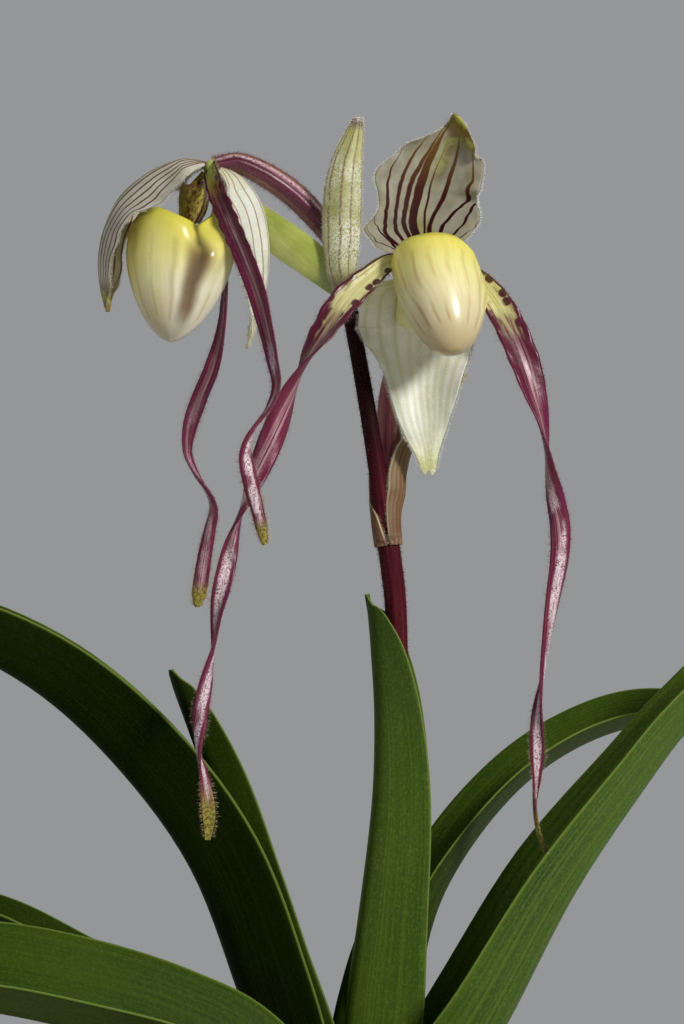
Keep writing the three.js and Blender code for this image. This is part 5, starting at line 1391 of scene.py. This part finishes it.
def make_stage():
    """A pale floor that fades into the backdrop's grey away from the pot."""
    bpy.ops.mesh.primitive_circle_add(vertices=128, radius=4, fill_type="NGON")
    floor = bpy.context.object
    floor.name = "floor"
    material = bpy.data.materials.new("floor")
    nodes = Nodes(material)
    spot = Value(nodes, nodes.node("TexCoord").outputs["Object"])
    reach = Value(nodes, nodes.node("VectorMath", spot, operation="LENGTH").outputs["Value"])
    plain, far = nodes.value("BsdfDiffuse", (0.72, 0.72, 0.71)), nodes.value("Emission", BACKDROP)
    nodes.node("OutputMaterial", nodes.value("MixShader", reach.step(0.3, 0.85), plain, far))
    floor.data.materials.append(material)


def make_world():
    """Grey all round: the camera sees it at full strength, and it lights the plant more weakly."""
    world = bpy.data.worlds.new("backdrop")
    nodes = Nodes(world)
    direct = Value(nodes, nodes.node("LightPath").outputs["Is Camera Ray"])
    lit, seen = nodes.value("Background", BACKDROP, 0.42), nodes.value("Background", BACKDROP)
    nodes.node("OutputWorld", nodes.value("MixShader", direct, lit, seen))
    bpy.context.scene.world = world


def add_light(name, place, size, power, colour=(1, 1, 1), glossy=True):
    light = bpy.data.lights.new(name, "AREA")
    light.shape, light.size, light.energy, light.color = "DISK", size, power, colour
    lamp = bpy.data.objects.new(name, light)
    bpy.context.scene.collection.objects.link(lamp)
    lamp.visible_glossy = glossy
    lamp.location = Vector(place)
    aim = Vector((0, 0, 0.27))
    lamp.rotation_euler = (aim - lamp.location).to_track_quat("-Z", "Y").to_euler()


def make_lights():
    add_light("key", (0.62, -0.72, 0.7), 0.2, 8.5, (1, 0.98, 0.95))
    add_light("fill", (-0.9, -0.8, 0.4), 0.7, 1.4, (0.95, 0.98, 1))
    add_light("back", (0.45, 0.7, 0.75), 0.4, 4, glossy=False)
    add_light("top", (-0.1, 0.1, 1.3), 0.6, 2, glossy=False)


def make_camera():
    """Level, looking along +Y; 0.24 mm of the stem's plane fills each of the picture's pixels."""
    distance, pixel, picture_height = 900, 0.24, 1024
    camera = bpy.data.cameras.new("camera")
    camera.sensor_width = 36
    camera.lens = camera.sensor_width * distance / (pixel * picture_height)
    eye = bpy.data.objects.new("camera", camera)
    bpy.context.scene.collection.objects.link(eye)
    eye.location = (-0.0055, -distance * MM, 0.2777)
    eye.rotation_euler = (math.radians(90), 0, 0)
    bpy.context.scene.camera = eye


make_camera()
make_stage()
make_world()
make_lights()
bpy.context.scene.view_settings.view_transform = "Standard"

make_pot()
make_bark()
make_roots()
make_leaves()
make_stem()
make_end_bract()
make_bracts()
COLUMN_PAINT = column_paint()
PETAL_HAIR = petal_hair_paint()
DARK_HAIR = hair_paint("dark_hair", (0.12, 0.02, 0.04), (0.5, 0.3, 0.32))
PALE_HAIR = hair_paint("pale_hair", (0.72, 0.7, 0.6), (0.95, 0.94, 0.9))
for number, flower in FLOWERS.items():
    make_ovary(number, flower)
    make_column(number, flower)
    make_pouch(number, flower)
    make_petals(number, flower)
    make_sepal(number, flower["dorsal"], "dorsal_sepal", (3.2, 1.2), 0.0, dorsal_paint(number))
    make_sepal(number, flower["synsepal"], "synsepal", (2.2, 0.8), 0.04, synsepal_paint(number))
